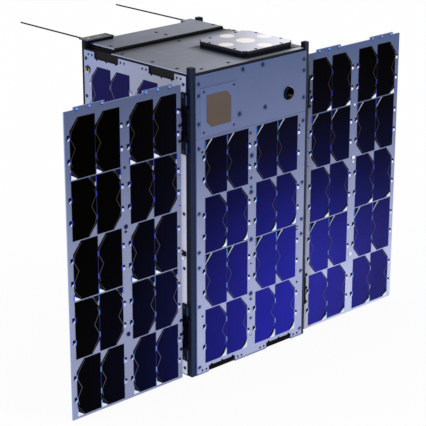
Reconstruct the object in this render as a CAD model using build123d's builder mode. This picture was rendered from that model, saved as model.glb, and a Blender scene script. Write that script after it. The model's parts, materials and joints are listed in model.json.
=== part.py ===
from build123d import *
import os

os.makedirs("parts", exist_ok=True)

# A sixteen-unit small satellite with its two solar wings unfolded. It stands on the feet
# of its four rails: +Z up, front face towards -Y, origin midway between the four feet.
# Every length is in millimetres.

# Body
body_width = 226.3  # over the rails, along X and along Y
rail_height = 443.7  # foot to top of a rail
rail_side = 8.5  # square section of a rail
rail_chamfer = 1.2  # outer edge and both ends of a rail
rail_leg_reach = 16.0  # inner legs behind the panels, from the rail's square
rail_leg_thickness = 1.6
rail_leg_gap = 0.3  # between a leg's end and a deck's rim

# Decks, each a milled pan whose rim shows in the notches of the panels
top_deck_drop = 8.4  # upper face below the rail tops
bottom_deck_lift = 1.6  # under face above the rail feet
deck_plate = 3.0
deck_rim_height = 14.0
deck_rim_thickness = 2.2
deck_rail_gap = 0.2  # between a corner notch and the rail in it
deck_edge_chamfer = 0.8
deck_front_chamfer_height = 1.6  # front and rear edges
deck_front_chamfer_depth = 2.5
deck_step_depth = 1.5  # strips beside the antenna housing, below the deck's face
deck_step_reach = 3.3  # their front ends in front of the housing

# Outer panels, which lap a little onto the faces of the rails
panel_thickness = 2.0
panel_lap = 0.65
panel_foot = 1.0  # lower edge above the floor
panel_head_drop = 3.35  # upper edge below the top deck's upper face
front_upper_height = 86.95  # upper front panel, down to the line between the two
split_gap = 0.4
notch_width = 51.5
notch_depth = 9.5
notch_from_edge = 48.1  # centre of a notch from its panel's side edge
notch_bite_radius = 2.0
notch_bite_pitch = 20.5

# Solar cells, in two pairs of columns with one cropped side each. They fill the space
# that the margins leave on their panel.
cell_thickness = 0.5
cell_columns = 4
cell_crop_across = 13.0
cell_crop_up = 16.0
cell_pair_gap = 1.1  # between the two columns of a pair
cell_middle_gap = 16.4  # between the two pairs
cell_row_gap = 1.75
body_cells_margin = 15.7  # outer columns from the panel's side edges
wing_cells_margin = 8.15
front_cells_drop = 3.0  # top row below the line between the front panels
front_cells_lift = 15.15  # bottom row above the panel's lower edge
side_cells_drop = 19.85  # top row below the panel's upper edge
side_cells_lift = 3.35
wing_cells_drop = 10.0
wing_cells_lift = 3.55
front_rows = 4
side_rows = 5
diode_gap = 3.4  # between a diode tile and the cell's sloping edge
diode_thickness = 0.5

# Flat antenna on the upper front panel
patch_head_margin = 17.85  # its base from the panel's upper edge
patch_foot_margin = 3.1  # and from the panel's lower edge
patch_base_thickness = 1.0
patch_rim = 10.5  # base all round the element
patch_crop = 8.5
patch_thickness = 0.4
patch_from_edge = 40.4  # its centre from the panel's side edge

# Round sensor opening in the upper front panel
sensor_radius = 9.9
sensor_flange_proud = 0.5
sensor_hood_inset = 1.7  # hood in from the flange's rim
sensor_wall = 1.7  # hood's wall
sensor_proud = 2.8
sensor_depth = 12.0
sensor_lens_depth = 8.0
sensor_lens_thickness = 2.5
sensor_from_edge = 35.0
sensor_above_split = 32.8

# Round service port on the left panel
port_radius = 4.6
port_bore_radius = 2.4
port_bore_depth = 1.2
port_proud = 1.4
port_from_edge = 8.3
port_below_head = 26.95

# Square array antenna on the top deck
array_base_inset = 0.4  # base in from the board's edges
array_base_height = 6.3
array_board_side = 97.0
array_board_thickness = 3.2
array_corner_bite = 6.5
array_side_gap = 7.65  # board's right edge from the rail's inner face
array_front_gap = 5.05  # board's front edge from the rail's inner face
disc_edge_gap = 0.5  # outer discs from the board's edges
disc_radius = 10.6
disc_middle_radius = 13.7
disc_thickness = 0.4

# Antenna housing along the rear of the top deck, with a block on its right end
housing_depth = 59.4
housing_rear_gap = 1.95  # rear face in front of the rails' rear faces
housing_height = 4.9
housing_chamfer = 0.8  # its ends
housing_front_chamfer_height = 1.6
housing_front_chamfer_depth = 2.2
housing_rail_gap = 0.3
housing_block_width = 20.6
housing_block_reach = 10.8
housing_block_under = 1.2  # under face of the block above the deck's upper face

# Small circuit board over the rear left corner, and the spacer under it
board_thickness = 1.6
board_width = 48.5
board_depth = 19.5
board_from_side = 0.65  # left end in from the rail's outer face
board_reach = 5.85  # rear edge behind the rail's rear face
spacer_inset = 1.0

# Two straight antenna rods that point to the rear
rod_radius = 1.1
rod_reach = 168.3  # rod's tip behind the housing
rod_from_end = 11.95  # rods from the housing's ends
rod_seat = 0.1  # housing's upper face above the rod

# Solar wings
wing_narrower = 15.1  # than the panel that it folds against
wing_thickness = 2.0
wing_foot = 0.9
wing_head_drop = 21.5  # upper edge below the rail tops
wing_gap = 8.05  # wing's inner edge from the side panel's face
wing_setback = 9.05  # wing's front face behind the rails' front faces
tab_height = 3.5
tab_side_gap = 0.7  # each end of a tab against a notch's width

# Wing hinges, two on each side
hinge_length = 85.0
hinge_leaf_width = 10.0
hinge_leaf_thickness = 2.5
hinge_pad_length = 43.0
hinge_pad_reach = 6.1  # pad past the panel's edge, over the rail
hinge_pad_gap = 0.1  # between the pad and the panel's edge
hinge_leaf_front = 2.3  # leaf's front edge past the panel's edge
knuckle_radius = 2.25
knuckle_length = 12.0
knuckle_gap = 0.3
pin_radius = 1.1
pin_play = 0.08
pin_end = 0.8
pin_behind_wing = 2.5  # hinge axis behind the wing's back face
wing_leaf_reach = 16.0
wing_leaf_thickness = 1.5
upper_hinge_drop = 54.7  # its middle below the wing's upper edge
lower_hinge_lift = 66.1  # its middle above the wing's lower edge

# Closed inside: the heavy stack of electronics, battery and payload
stack_gap = 14.65  # its sides in from the rails' inner faces

cut_over = 1.0  # overrun of every cut

# Places worked out from the sizes above
body_half = body_width / 2
rail_centre = body_half - rail_side / 2
rail_inner = body_half - rail_side
face_half = body_half + panel_thickness
panel_half = rail_inner + panel_lap
top_deck_face = rail_height - top_deck_drop
panel_head = top_deck_face - panel_head_drop
split_height = panel_head - front_upper_height
notch_offset = panel_half - notch_from_edge
bottom_plate_top = bottom_deck_lift + deck_plate
leg_foot = bottom_deck_lift + deck_rim_height + rail_leg_gap
leg_head = top_deck_face - deck_rim_height - rail_leg_gap
housing_top = top_deck_face + housing_height
housing_half = rail_inner - housing_rail_gap
housing_rear = body_half - housing_rear_gap
wing_width = panel_half * 2 - wing_narrower
wing_front = -body_half + wing_setback
wing_back = wing_front + wing_thickness
wing_inner = face_half + wing_gap
wing_centre = wing_inner + wing_width / 2
wing_head = rail_height - wing_head_drop
leaf_face = face_half + hinge_leaf_thickness
axis_x = leaf_face + knuckle_radius
axis_y = wing_back + pin_behind_wing
hinge_heights = (wing_head - upper_hinge_drop, wing_foot + lower_hinge_lift)
knuckle_half = knuckle_length  # the wing's knuckle is as long as both others together
knuckle_centre = knuckle_half + knuckle_gap + knuckle_length / 2
pin_half = knuckle_centre + knuckle_length / 2 + pin_end

# Each face of the body has a plane on its panels' outer side: local x to the right as
# seen from outside, local y up, local z outwards.
front_plane = Plane(origin=(0, -face_half, 0), x_dir=(1, 0, 0), z_dir=(0, -1, 0))
left_plane = Plane(origin=(-face_half, 0, 0), x_dir=(0, -1, 0), z_dir=(-1, 0, 0))
right_plane = Plane(origin=(face_half, 0, 0), x_dir=(0, 1, 0), z_dir=(1, 0, 0))
rear_plane = Plane(origin=(0, face_half, 0), x_dir=(-1, 0, 0), z_dir=(0, 1, 0))
wing_plane = Plane(origin=(0, wing_front, 0), x_dir=(1, 0, 0), z_dir=(0, -1, 0))


def save(piece, name):
    piece.part.label = name
    export_step(piece.part, "parts/" + name + ".step")


def bite_places(height):
    """The three half-round bites along the inner edge of a notch or on a tab."""
    places = []
    for middle in (-notch_offset, notch_offset):
        for step in (-1, 0, 1):
            places.append((middle + step * notch_bite_pitch, height))
    return places


def cell_size(width, margin, foot, head, rows):
    """Width and height of a cell on a panel of that width, between foot and head."""
    gaps = cell_middle_gap + cell_pair_gap * 2
    cell_width = (width - margin * 2 - gaps) / cell_columns
    cell_height = (head - foot - cell_row_gap * (rows - 1)) / rows
    return cell_width, cell_height


def cell_points(left, head, size, crop_side):
    """Outline of a cell, cropped at both corners of its left (-1) or right (1) side."""
    cell_width, cell_height = size
    right = left + cell_width
    foot = head - cell_height
    full, cropped = (right, left) if crop_side < 0 else (left, right)
    inside = cropped - crop_side * cell_crop_across
    return (
        (full, foot),
        (full, head),
        (inside, head),
        (cropped, head - cell_crop_up),
        (cropped, foot + cell_crop_up),
        (inside, foot),
    )


def diode_points(left, head, size, crop_side, at_head):
    """Outline of the triangular tile in one cropped corner of a cell."""
    cell_width, cell_height = size
    corner_x = left if crop_side < 0 else left + cell_width
    corner_z = head if at_head else head - cell_height
    down = -1 if at_head else 1
    along = cell_crop_across - diode_gap
    return (
        (corner_x, corner_z),
        (corner_x - crop_side * along, corner_z),
        (corner_x, corner_z + down * (cell_crop_up - diode_gap)),
    )


def column_lefts(middle, cell_width):
    """Left edges of the four columns about the middle of a panel."""
    pair_width = cell_width * 2 + cell_pair_gap
    first = middle - cell_middle_gap / 2 - pair_width
    third = middle + cell_middle_gap / 2
    step = cell_width + cell_pair_gap
    return (first, first + step, third, third + step)


def crop_side_of(row, first_side):
    return first_side if row % 2 == 0 else -first_side


def make_cells(name, plane, middle, head, size, rows, first_side):
    with BuildPart() as cells:
        with BuildSketch(plane):
            for row in range(rows):
                row_head = head - row * (size[1] + cell_row_gap)
                side = crop_side_of(row, first_side)
                for left in column_lefts(middle, size[0]):
                    Polygon(*cell_points(left, row_head, size, side), align=None)
        extrude(amount=cell_thickness)
    save(cells, name)


def make_diodes(name, plane, middle, head, size, rows, first_side, first_at_head):
    with BuildPart() as diodes:
        with BuildSketch(plane):
            for row in range(rows):
                row_head = head - row * (size[1] + cell_row_gap)
                at_head = first_at_head if row % 2 == 0 else not first_at_head
                side = crop_side_of(row, first_side)
                for left in column_lefts(middle, size[0]):
                    points = diode_points(left, row_head, size, side, at_head)
                    Polygon(*points, align=None)
        extrude(amount=diode_thickness)
    save(diodes, name)


def make_panel(name, plane, foot, head, notch_edge):
    """A flat outer panel with two notches at its head, at its foot or at neither."""
    with BuildPart() as panel:
        with BuildSketch(plane):
            with Locations((0, (foot + head) / 2)):
                Rectangle(panel_half * 2, head - foot)
            if notch_edge:
                edge = head if notch_edge == "head" else foot
                inward = -1 if notch_edge == "head" else 1
                notch_height = notch_depth + cut_over
                notch_middle = edge + inward * (notch_depth - cut_over) / 2
                with Locations((-notch_offset, notch_middle), (notch_offset, notch_middle)):
                    Rectangle(notch_width, notch_height, mode=Mode.SUBTRACT)
                with Locations(*bite_places(edge + inward * notch_depth)):
                    Circle(notch_bite_radius, mode=Mode.SUBTRACT)
        extrude(amount=-panel_thickness)
    return panel


# Rails: a square post with a chamfered outer edge and two inner legs
for rail_name, side_x, side_y in (
    ("rail_front_left", -1, -1),
    ("rail_front_right", 1, -1),
    ("rail_rear_left", -1, 1),
    ("rail_rear_right", 1, 1),
):
    with BuildPart() as rail:
        with BuildSketch() as rail_section:
            with Locations((side_x * rail_centre, side_y * rail_centre)):
                Rectangle(rail_side, rail_side)
            outer_corner = rail_section.vertices().sort_by_distance(
                (side_x * body_width, side_y * body_width, 0)
            )[0]
            chamfer(outer_corner, length=rail_chamfer)
        extrude(amount=rail_height)
        chamfer(rail.faces().sort_by(Axis.Z)[-1].edges(), length=rail_chamfer / 2)
        chamfer(rail.faces().sort_by(Axis.Z)[0].edges(), length=rail_chamfer / 2)
        leg_middle = rail_inner - rail_leg_reach / 2
        leg_skin = body_half - rail_leg_thickness / 2
        with BuildSketch(Plane.XY.offset(leg_foot)):
            with Locations((side_x * leg_middle, side_y * leg_skin)):
                Rectangle(rail_leg_reach, rail_leg_thickness)
            with Locations((side_x * leg_skin, side_y * leg_middle)):
                Rectangle(rail_leg_thickness, rail_leg_reach)
        extrude(amount=leg_head - leg_foot)
    save(rail, rail_name)

# Decks: a plate with corner notches for the rails, and a rim all round inside the panels
for deck_name, plate_foot, rim_foot in (
    ("top_deck", top_deck_face - deck_plate, top_deck_face - deck_rim_height),
    ("bottom_deck", bottom_deck_lift, bottom_deck_lift),
):
    notch_side = (rail_side + deck_rail_gap) * 2
    rim_hollow = body_half - deck_rim_thickness
    rim_corner = notch_side + deck_rim_thickness * 2
    with BuildPart() as deck:
        with BuildSketch(Plane.XY.offset(rim_foot)):
            Rectangle(body_width, body_width)
            with BuildSketch(mode=Mode.PRIVATE) as hollow:
                Rectangle(rim_hollow * 2, rim_hollow * 2)
                with GridLocations(body_width, body_width, 2, 2):
                    Rectangle(rim_corner, rim_corner, mode=Mode.SUBTRACT)
            add(hollow.sketch, mode=Mode.SUBTRACT)
            with GridLocations(body_width, body_width, 2, 2):
                Rectangle(notch_side, notch_side, mode=Mode.SUBTRACT)
        extrude(amount=deck_rim_height)
        with BuildSketch(Plane.XY.offset(plate_foot)):
            Rectangle(body_width, body_width)
            with GridLocations(body_width, body_width, 2, 2):
                Rectangle(notch_side, notch_side, mode=Mode.SUBTRACT)
        extrude(amount=deck_plate)
        if deck_name == "top_deck":
            long_edges = deck.faces().sort_by(Axis.Z)[-1].edges().filter_by(
                lambda edge: edge.length > body_half
            )
            chamfer(long_edges.filter_by(Axis.Y), length=deck_edge_chamfer)
            top_face = deck.faces().sort_by(Axis.Z)[-1]
            for cross_edge in (top_face.edges().sort_by(Axis.Y)[0],
                               top_face.edges().sort_by(Axis.Y)[-1]):
                chamfer(cross_edge, length=deck_front_chamfer_depth,
                        length2=deck_front_chamfer_height, reference=top_face)
            with BuildSketch(Plane.XY.offset(top_deck_face - deck_step_depth)):
                step_front = housing_rear - housing_depth - deck_step_reach
                step_width = body_half - rail_inner + cut_over
                step_length = body_half - step_front + cut_over
                for side in (-1, 1):
                    with Locations((side * (rail_inner + step_width / 2),
                                    step_front + step_length / 2)):
                        Rectangle(step_width, step_length)
            extrude(amount=deck_step_depth + cut_over, mode=Mode.SUBTRACT)
    save(deck, deck_name)

# Outer panels
save(make_panel("solar", front_plane, panel_foot, split_height - split_gap / 2, "foot"),
     "front_solar_panel")
for panel_name, panel_plane in (
    ("left_panel", left_plane),
    ("right_panel", right_plane),
    ("rear_panel", rear_plane),
):
    save(make_panel(panel_name, panel_plane, panel_foot, panel_head, "head"), panel_name)

sensor_middle = panel_half - sensor_from_edge
sensor_height = split_height + sensor_above_split
sensor_hood_radius = sensor_radius - sensor_hood_inset
sensor_bore_radius = sensor_hood_radius - sensor_wall
with BuildPart() as front_upper_panel:
    with BuildSketch(front_plane):
        upper_foot = split_height + split_gap / 2
        with Locations((0, (upper_foot + panel_head) / 2)):
            Rectangle(panel_half * 2, panel_head - upper_foot)
        with Locations((sensor_middle, sensor_height)):
            Circle(sensor_radius, mode=Mode.SUBTRACT)
    extrude(amount=-panel_thickness)
save(front_upper_panel, "front_upper_panel")

# Solar cells and diode tiles on the body: name, plane, top row's head, rows, side that
# the first row is cropped on, and whether the first row's tile is at its head
side_head = panel_head - side_cells_drop
side_foot = panel_foot + side_cells_lift
front_head = split_height - front_cells_drop
front_foot = panel_foot + front_cells_lift
for face_name, face_plane, foot, head, rows, first_side, tile_at_head in (
    ("front", front_plane, front_foot, front_head, front_rows, -1, True),
    ("left", left_plane, side_foot, side_head, side_rows, -1, False),
    ("right", right_plane, side_foot, side_head, side_rows, 1, False),
    ("rear", rear_plane, side_foot, side_head, side_rows, -1, False),
):
    size = cell_size(panel_half * 2, body_cells_margin, foot, head, rows)
    make_cells(face_name + "_cells", face_plane, 0, head, size, rows, first_side)
    make_diodes(face_name + "_diodes", face_plane, 0, head, size, rows, first_side,
                tile_at_head)

# Flat antenna: a square plate and the brown element with two cropped corners
patch_base_side = front_upper_height - patch_head_margin - patch_foot_margin
patch_side = patch_base_side - patch_rim * 2
patch_place = (patch_from_edge - panel_half,
               split_height + patch_foot_margin + patch_base_side / 2)
with BuildPart() as patch_base:
    with BuildSketch(front_plane):
        with Locations(patch_place):
            Rectangle(patch_base_side, patch_base_side)
    extrude(amount=patch_base_thickness)
save(patch_base, "patch_base")

with BuildPart() as patch_element:
    with BuildSketch(front_plane.offset(patch_base_thickness)) as patch_sketch:
        with Locations(patch_place):
            Rectangle(patch_side, patch_side)
        diagonal = patch_sketch.vertices().sort_by(lambda v: v.X + v.Y)
        chamfer([diagonal[0], diagonal[-1]], length=patch_crop)
    extrude(amount=patch_thickness)
save(patch_element, "patch_element")

# Sensor: a short barrel set in the panel's hole, with a lens inside it
with BuildPart() as sensor_barrel:
    with BuildSketch(front_plane.offset(sensor_flange_proud)):
        with Locations((sensor_middle, sensor_height)):
            Circle(sensor_radius)
    extrude(amount=-sensor_depth)
    with BuildSketch(front_plane):
        with Locations((sensor_middle, sensor_height)):
            Circle(sensor_hood_radius)
    extrude(amount=sensor_proud)
    with BuildSketch(front_plane.offset(sensor_proud)):
        with Locations((sensor_middle, sensor_height)):
            Circle(sensor_bore_radius)
    extrude(amount=-sensor_depth - sensor_proud, mode=Mode.SUBTRACT)
save(sensor_barrel, "sensor_barrel")

with BuildPart() as sensor_lens:
    with BuildSketch(front_plane.offset(sensor_proud - sensor_lens_depth)):
        with Locations((sensor_middle, sensor_height)):
            Circle(sensor_bore_radius)
    extrude(amount=-sensor_lens_thickness)
save(sensor_lens, "sensor_lens")

# Service port: a round boss with a shallow bore
with BuildPart() as side_port:
    port_place = (port_from_edge - panel_half, panel_head - port_below_head)
    with BuildSketch(left_plane):
        with Locations(port_place):
            Circle(port_radius)
    extrude(amount=port_proud)
    with BuildSketch(left_plane.offset(port_proud)):
        with Locations(port_place):
            Circle(port_bore_radius)
    extrude(amount=-port_bore_depth, mode=Mode.SUBTRACT)
save(side_port, "side_port")

# Array antenna: base, board with bitten corners, and five discs in a cross
array_base_side = array_board_side - array_base_inset * 2
array_place = (rail_inner - array_side_gap - array_board_side / 2,
               array_front_gap - rail_inner + array_board_side / 2)
disc_offset = array_board_side / 2 - disc_edge_gap - disc_radius
with BuildPart() as array_base:
    with BuildSketch(Plane.XY.offset(top_deck_face)):
        with Locations(array_place):
            Rectangle(array_base_side, array_base_side)
        with Locations(array_place):
            with GridLocations(array_board_side, array_board_side, 2, 2):
                Circle(array_corner_bite + array_base_inset, mode=Mode.SUBTRACT)
    extrude(amount=array_base_height)
save(array_base, "array_base")

array_board_foot = top_deck_face + array_base_height
array_face = array_board_foot + array_board_thickness
with BuildPart() as array_board:
    with BuildSketch(Plane.XY.offset(array_board_foot)):
        with Locations(array_place):
            Rectangle(array_board_side, array_board_side)
            with GridLocations(array_board_side, array_board_side, 2, 2):
                Circle(array_corner_bite, mode=Mode.SUBTRACT)
    extrude(amount=array_board_thickness)
save(array_board, "array_board")

with BuildPart() as array_discs:
    with BuildSketch(Plane.XY.offset(array_face)):
        with Locations(array_place):
            Circle(disc_middle_radius)
            with PolarLocations(disc_offset, 4):
                Circle(disc_radius)
    extrude(amount=disc_thickness)
save(array_discs, "array_discs")

# Antenna housing between the rear rails, its block at the right end, and the rods
with BuildPart() as antenna_housing:
    with BuildSketch(Plane.XY.offset(top_deck_face)):
        with Locations((0, housing_rear - housing_depth / 2)):
            Rectangle(housing_half * 2, housing_depth)
    extrude(amount=housing_height)
    top_edges = antenna_housing.faces().sort_by(Axis.Z)[-1].edges()
    chamfer(top_edges.filter_by(Axis.Y), length=housing_chamfer)
    top_face = antenna_housing.faces().sort_by(Axis.Z)[-1]
    chamfer(top_face.edges().sort_by(Axis.Y)[0], length=housing_front_chamfer_depth,
            length2=housing_front_chamfer_height, reference=top_face)
    with BuildSketch(Plane.XY.offset(top_deck_face + housing_block_under)):
        with Locations((housing_half - housing_block_width / 2,
                        housing_rear + housing_block_reach / 2)):
            Rectangle(housing_block_width, housing_block_reach)
    extrude(amount=housing_height - housing_block_under)
save(antenna_housing, "antenna_housing")

rod_height = housing_top - rod_seat - rod_radius
rod_middle = housing_half - rod_from_end
with BuildPart() as antenna_rods:
    for rod_x, rod_root in (
        (-rod_middle, housing_rear),
        (rod_middle, housing_rear + housing_block_reach),
    ):
        rod_root_plane = Plane(
            origin=(rod_x, rod_root, rod_height), x_dir=(1, 0, 0), z_dir=(0, 1, 0)
        )
        with BuildSketch(rod_root_plane):
            Circle(rod_radius)
        extrude(amount=housing_rear + rod_reach - rod_root)
save(antenna_rods, "antenna_rods")

# Corner board, level with the rail tops, and the spacer that carries it
board_left = -body_half + board_from_side
board_rear = body_half + board_reach
spacer_left = -rail_inner + housing_rail_gap
spacer_right = board_left + board_width - spacer_inset
spacer_front = board_rear - board_depth + spacer_inset
with BuildPart() as corner_board:
    with BuildSketch(Plane.XY.offset(rail_height)):
        with Locations((board_left + board_width / 2, board_rear - board_depth / 2)):
            Rectangle(board_width, board_depth)
    extrude(amount=board_thickness)
save(corner_board, "corner_board")

with BuildPart() as board_spacer:
    with BuildSketch(Plane.XY.offset(housing_top)):
        with Locations(((spacer_left + spacer_right) / 2, (spacer_front + housing_rear) / 2)):
            Rectangle(spacer_right - spacer_left, housing_rear - spacer_front)
    extrude(amount=rail_height - housing_top)
save(board_spacer, "board_spacer")

# Closed inside, one plain block between the decks' plates
with BuildPart() as equipment_stack:
    with BuildSketch(Plane.XY.offset(bottom_plate_top)):
        Rectangle(rail_inner * 2 - stack_gap * 2, rail_inner * 2 - stack_gap * 2)
    extrude(amount=top_deck_face - deck_plate - bottom_plate_top)
save(equipment_stack, "equipment_stack")

# Wings and hinges, left and right
for side_name, side, first_side in (("left", -1, -1), ("right", 1, 1)):
    # Wing panel with two tabs on its upper edge
    tab_width = notch_width - tab_side_gap * 2
    middle = side * wing_centre
    with BuildPart() as wing_panel:
        with BuildSketch(wing_plane):
            with Locations((middle, (wing_foot + wing_head) / 2)):
                Rectangle(wing_width, wing_head - wing_foot)
            with Locations(
                (middle - notch_offset, wing_head + tab_height / 2),
                (middle + notch_offset, wing_head + tab_height / 2),
            ):
                Rectangle(tab_width, tab_height)
        extrude(amount=-wing_thickness)
    save(wing_panel, side_name + "_wing_panel")

    head = wing_head - wing_cells_drop
    foot = wing_foot + wing_cells_lift
    size = cell_size(wing_width, wing_cells_margin, foot, head, side_rows)
    make_cells(side_name + "_wing_cells", wing_plane, middle, head, size, side_rows,
               first_side)
    make_diodes(side_name + "_wing_diodes", wing_plane, middle, head, size, side_rows,
                first_side, False)

    # Leaves on the body: a plate on the side panel, a pad down to the rail, two knuckles
    leaf_front = -panel_half - hinge_leaf_front
    leaf_middle = leaf_front + hinge_leaf_width / 2
    pad_front = -panel_half - hinge_pad_reach
    pad_rear = -panel_half - hinge_pad_gap
    with BuildPart() as body_leaves:
        for height in hinge_heights:
            with BuildSketch(Plane.XY.offset(height - hinge_length / 2)):
                with Locations((side * (face_half + leaf_face) / 2, leaf_middle)):
                    Rectangle(hinge_leaf_thickness, hinge_leaf_width)
            extrude(amount=hinge_length)
            with BuildSketch(Plane.XY.offset(height - hinge_pad_length / 2)):
                with Locations((side * (body_half + leaf_face) / 2, (pad_front + pad_rear) / 2)):
                    Rectangle(leaf_face - body_half, pad_rear - pad_front)
            extrude(amount=hinge_pad_length)
            for knuckle in (-1, 1):
                knuckle_foot = height + knuckle * knuckle_centre - knuckle_length / 2
                with BuildSketch(Plane.XY.offset(knuckle_foot)):
                    with Locations((side * axis_x, axis_y)):
                        Circle(knuckle_radius)
                    with Locations((side * (leaf_face + axis_x) / 2, axis_y)):
                        Rectangle(knuckle_radius, knuckle_radius * 2)
                    with Locations((side * axis_x, axis_y)):
                        Circle(pin_radius, mode=Mode.SUBTRACT)
                extrude(amount=knuckle_length)
    save(body_leaves, side_name + "_body_leaves")

    with BuildPart() as hinge_pins:
        for height in hinge_heights:
            with BuildSketch(Plane.XY.offset(height - pin_half)):
                with Locations((side * axis_x, axis_y)):
                    Circle(pin_radius)
            extrude(amount=pin_half * 2)
    save(hinge_pins, side_name + "_hinge_pins")

    # Leaves on the wing's back, each with one long knuckle round the pin
    with BuildPart() as wing_leaves:
        leaf_y = wing_back + wing_leaf_thickness / 2
        for height in hinge_heights:
            with BuildSketch(Plane.XY.offset(height - hinge_length / 2)):
                with Locations((side * (wing_inner + wing_leaf_reach / 2), leaf_y)):
                    Rectangle(wing_leaf_reach, wing_leaf_thickness)
            extrude(amount=hinge_length)
            with BuildSketch(Plane.XY.offset(height - knuckle_half)):
                with Locations((side * (axis_x + wing_inner) / 2, leaf_y)):
                    Rectangle(wing_inner - axis_x, wing_leaf_thickness)
                with Locations((side * axis_x, axis_y)):
                    Circle(knuckle_radius)
                    Circle(pin_radius + pin_play, mode=Mode.SUBTRACT)
            extrude(amount=knuckle_half * 2)
    save(wing_leaves, side_name + "_wing_leaves")
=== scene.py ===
import bpy
import json
import math
from mathutils import Matrix, Vector

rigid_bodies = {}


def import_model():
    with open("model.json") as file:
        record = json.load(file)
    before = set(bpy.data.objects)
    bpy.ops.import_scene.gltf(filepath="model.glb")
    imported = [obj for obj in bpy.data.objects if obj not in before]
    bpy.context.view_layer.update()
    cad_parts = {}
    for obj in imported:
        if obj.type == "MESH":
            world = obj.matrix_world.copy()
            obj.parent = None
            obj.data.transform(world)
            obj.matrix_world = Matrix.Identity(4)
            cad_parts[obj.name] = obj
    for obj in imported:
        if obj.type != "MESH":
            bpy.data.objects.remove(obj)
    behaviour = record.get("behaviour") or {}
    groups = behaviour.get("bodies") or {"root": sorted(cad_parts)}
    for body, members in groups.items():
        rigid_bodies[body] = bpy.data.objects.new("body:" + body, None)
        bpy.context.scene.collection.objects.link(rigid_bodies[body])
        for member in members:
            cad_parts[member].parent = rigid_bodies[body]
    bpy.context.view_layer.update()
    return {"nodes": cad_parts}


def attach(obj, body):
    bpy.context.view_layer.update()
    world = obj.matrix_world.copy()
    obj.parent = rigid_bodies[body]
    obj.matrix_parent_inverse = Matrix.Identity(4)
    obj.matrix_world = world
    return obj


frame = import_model()
nodes = frame["nodes"]
mm = 0.001  # places and sizes of pieces are in millimetres, times this
print("frame loaded,", len(nodes), "nodes")


def clearSelection():
    if bpy.context.object and bpy.context.object.mode != "OBJECT":
        bpy.ops.object.mode_set(mode="OBJECT")
    bpy.ops.object.select_all(action="DESELECT")


def makeActive(piece):
    clearSelection()
    bpy.context.view_layer.objects.active = piece
    piece.select_set(True)


def toMetres(values):
    return [value * mm for value in values]


def pickAll(piece):
    makeActive(piece)
    bpy.ops.object.mode_set(mode="EDIT")
    bpy.ops.mesh.select_all(action="SELECT")


def pick(piece, kind, elements, test):
    # leaves the piece in edit mode with only the faces or points that pass selected
    makeActive(piece)
    bpy.ops.object.mode_set(mode="EDIT")
    bpy.ops.mesh.select_mode(type=kind)
    bpy.ops.mesh.select_all(action="DESELECT")
    bpy.ops.object.mode_set(mode="OBJECT")
    for element in elements:
        element.select = test(element)
    bpy.ops.object.mode_set(mode="EDIT")


def pickPoints(piece, test):
    pick(piece, "VERT", piece.data.vertices, lambda point: test(point.co))


def movePoints(piece, test, offset):
    pickPoints(piece, test)
    bpy.ops.transform.translate(value=toMetres(offset))
    bpy.ops.object.mode_set(mode="OBJECT")


def insetFront(piece, *steps):
    # steps are (inset, depth inward) of the face that looks out along -Y
    pick(piece, "FACE", piece.data.polygons, lambda face: face.normal.y < -0.9)
    for inset, depth in steps:
        bpy.ops.mesh.inset(thickness=inset * mm)
        if depth:
            bpy.ops.transform.translate(value=(0, depth * mm, 0))
    bpy.ops.object.mode_set(mode="OBJECT")


def cut(piece, place, away, dropOuter=False):
    pickAll(piece)
    bpy.ops.mesh.bisect(plane_co=toMetres(place), plane_no=away, use_fill=dropOuter,
                        clear_outer=dropOuter)
    bpy.ops.object.mode_set(mode="OBJECT")


def smooth(piece, degrees):
    makeActive(piece)
    bpy.ops.object.shade_smooth_by_angle(angle=math.radians(degrees))
    return piece


def soften(piece, width, segments=2):
    makeActive(piece)
    bevel = piece.modifiers.new("soften", "BEVEL")
    bevel.width = width * mm
    bevel.segments = segments
    bevel.limit_method = "ANGLE"
    bpy.ops.object.modifier_apply(modifier=bevel.name)
    return smooth(piece, 35)


def settle(name):
    piece = bpy.context.object
    piece.name = name
    bpy.ops.object.transform_apply(location=True, rotation=True, scale=True)
    return piece


def addBlock(name, size, place=None):
    # stands out from its face by its own depth, unless it gets a place
    clearSelection()
    bpy.ops.mesh.primitive_cube_add(
        size=1, location=toMetres(place or (0, -size[1] / 2, 0)), scale=toMetres(size))
    return settle(name)


def addRound(name, radius, depth, sides, across=0):
    # a short cylinder whose end looks out along -Y
    clearSelection()
    bpy.ops.mesh.primitive_cylinder_add(
        vertices=sides, radius=radius * mm, depth=depth * mm,
        location=toMetres((across, -depth / 2, 0)), rotation=(math.pi / 2, 0, 0))
    return settle(name)


# A piece is modelled facing -Y at the origin. Each face of the body, and each wing, turns
# it and puts it in its place: across to the right as seen from outside, then height.
faceTurn = {"front": 0, "left": -90, "right": 90, "rear": 180}
faceOut = 115.15  # outer face of the body's panels from the middle
wingFront = -104.1
wingMiddle = {"leftWing": -220.95, "rightWing": 220.95}
faces = (*faceTurn, *wingMiddle)
nodeOf = dict(zip(faces, ("front", "left", "right", "rear", "left_wing", "right_wing")))
bodyOf = {face: nodeOf[face] if face in wingMiddle else "bus" for face in faces}


def spotOn(face, across, height, out=0.0):
    if face in faceTurn:
        turn = Matrix.Rotation(math.radians(faceTurn[face]), 4, "Z")
        return turn @ Matrix.Translation(toMetres((across, -(faceOut + out), height)))
    return Matrix.Translation(toMetres((wingMiddle[face] + across, wingFront - out, height)))


def spotsOn(face, places, out=0.0):
    return [spotOn(face, across, height, out) for across, height in places]


def spotsOnTop(places, height):
    lie = Matrix.Rotation(math.radians(-90), 4, "X")
    return [Matrix.Translation(toMetres((x, y, height))) @ lie for x, y in places]


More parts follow.
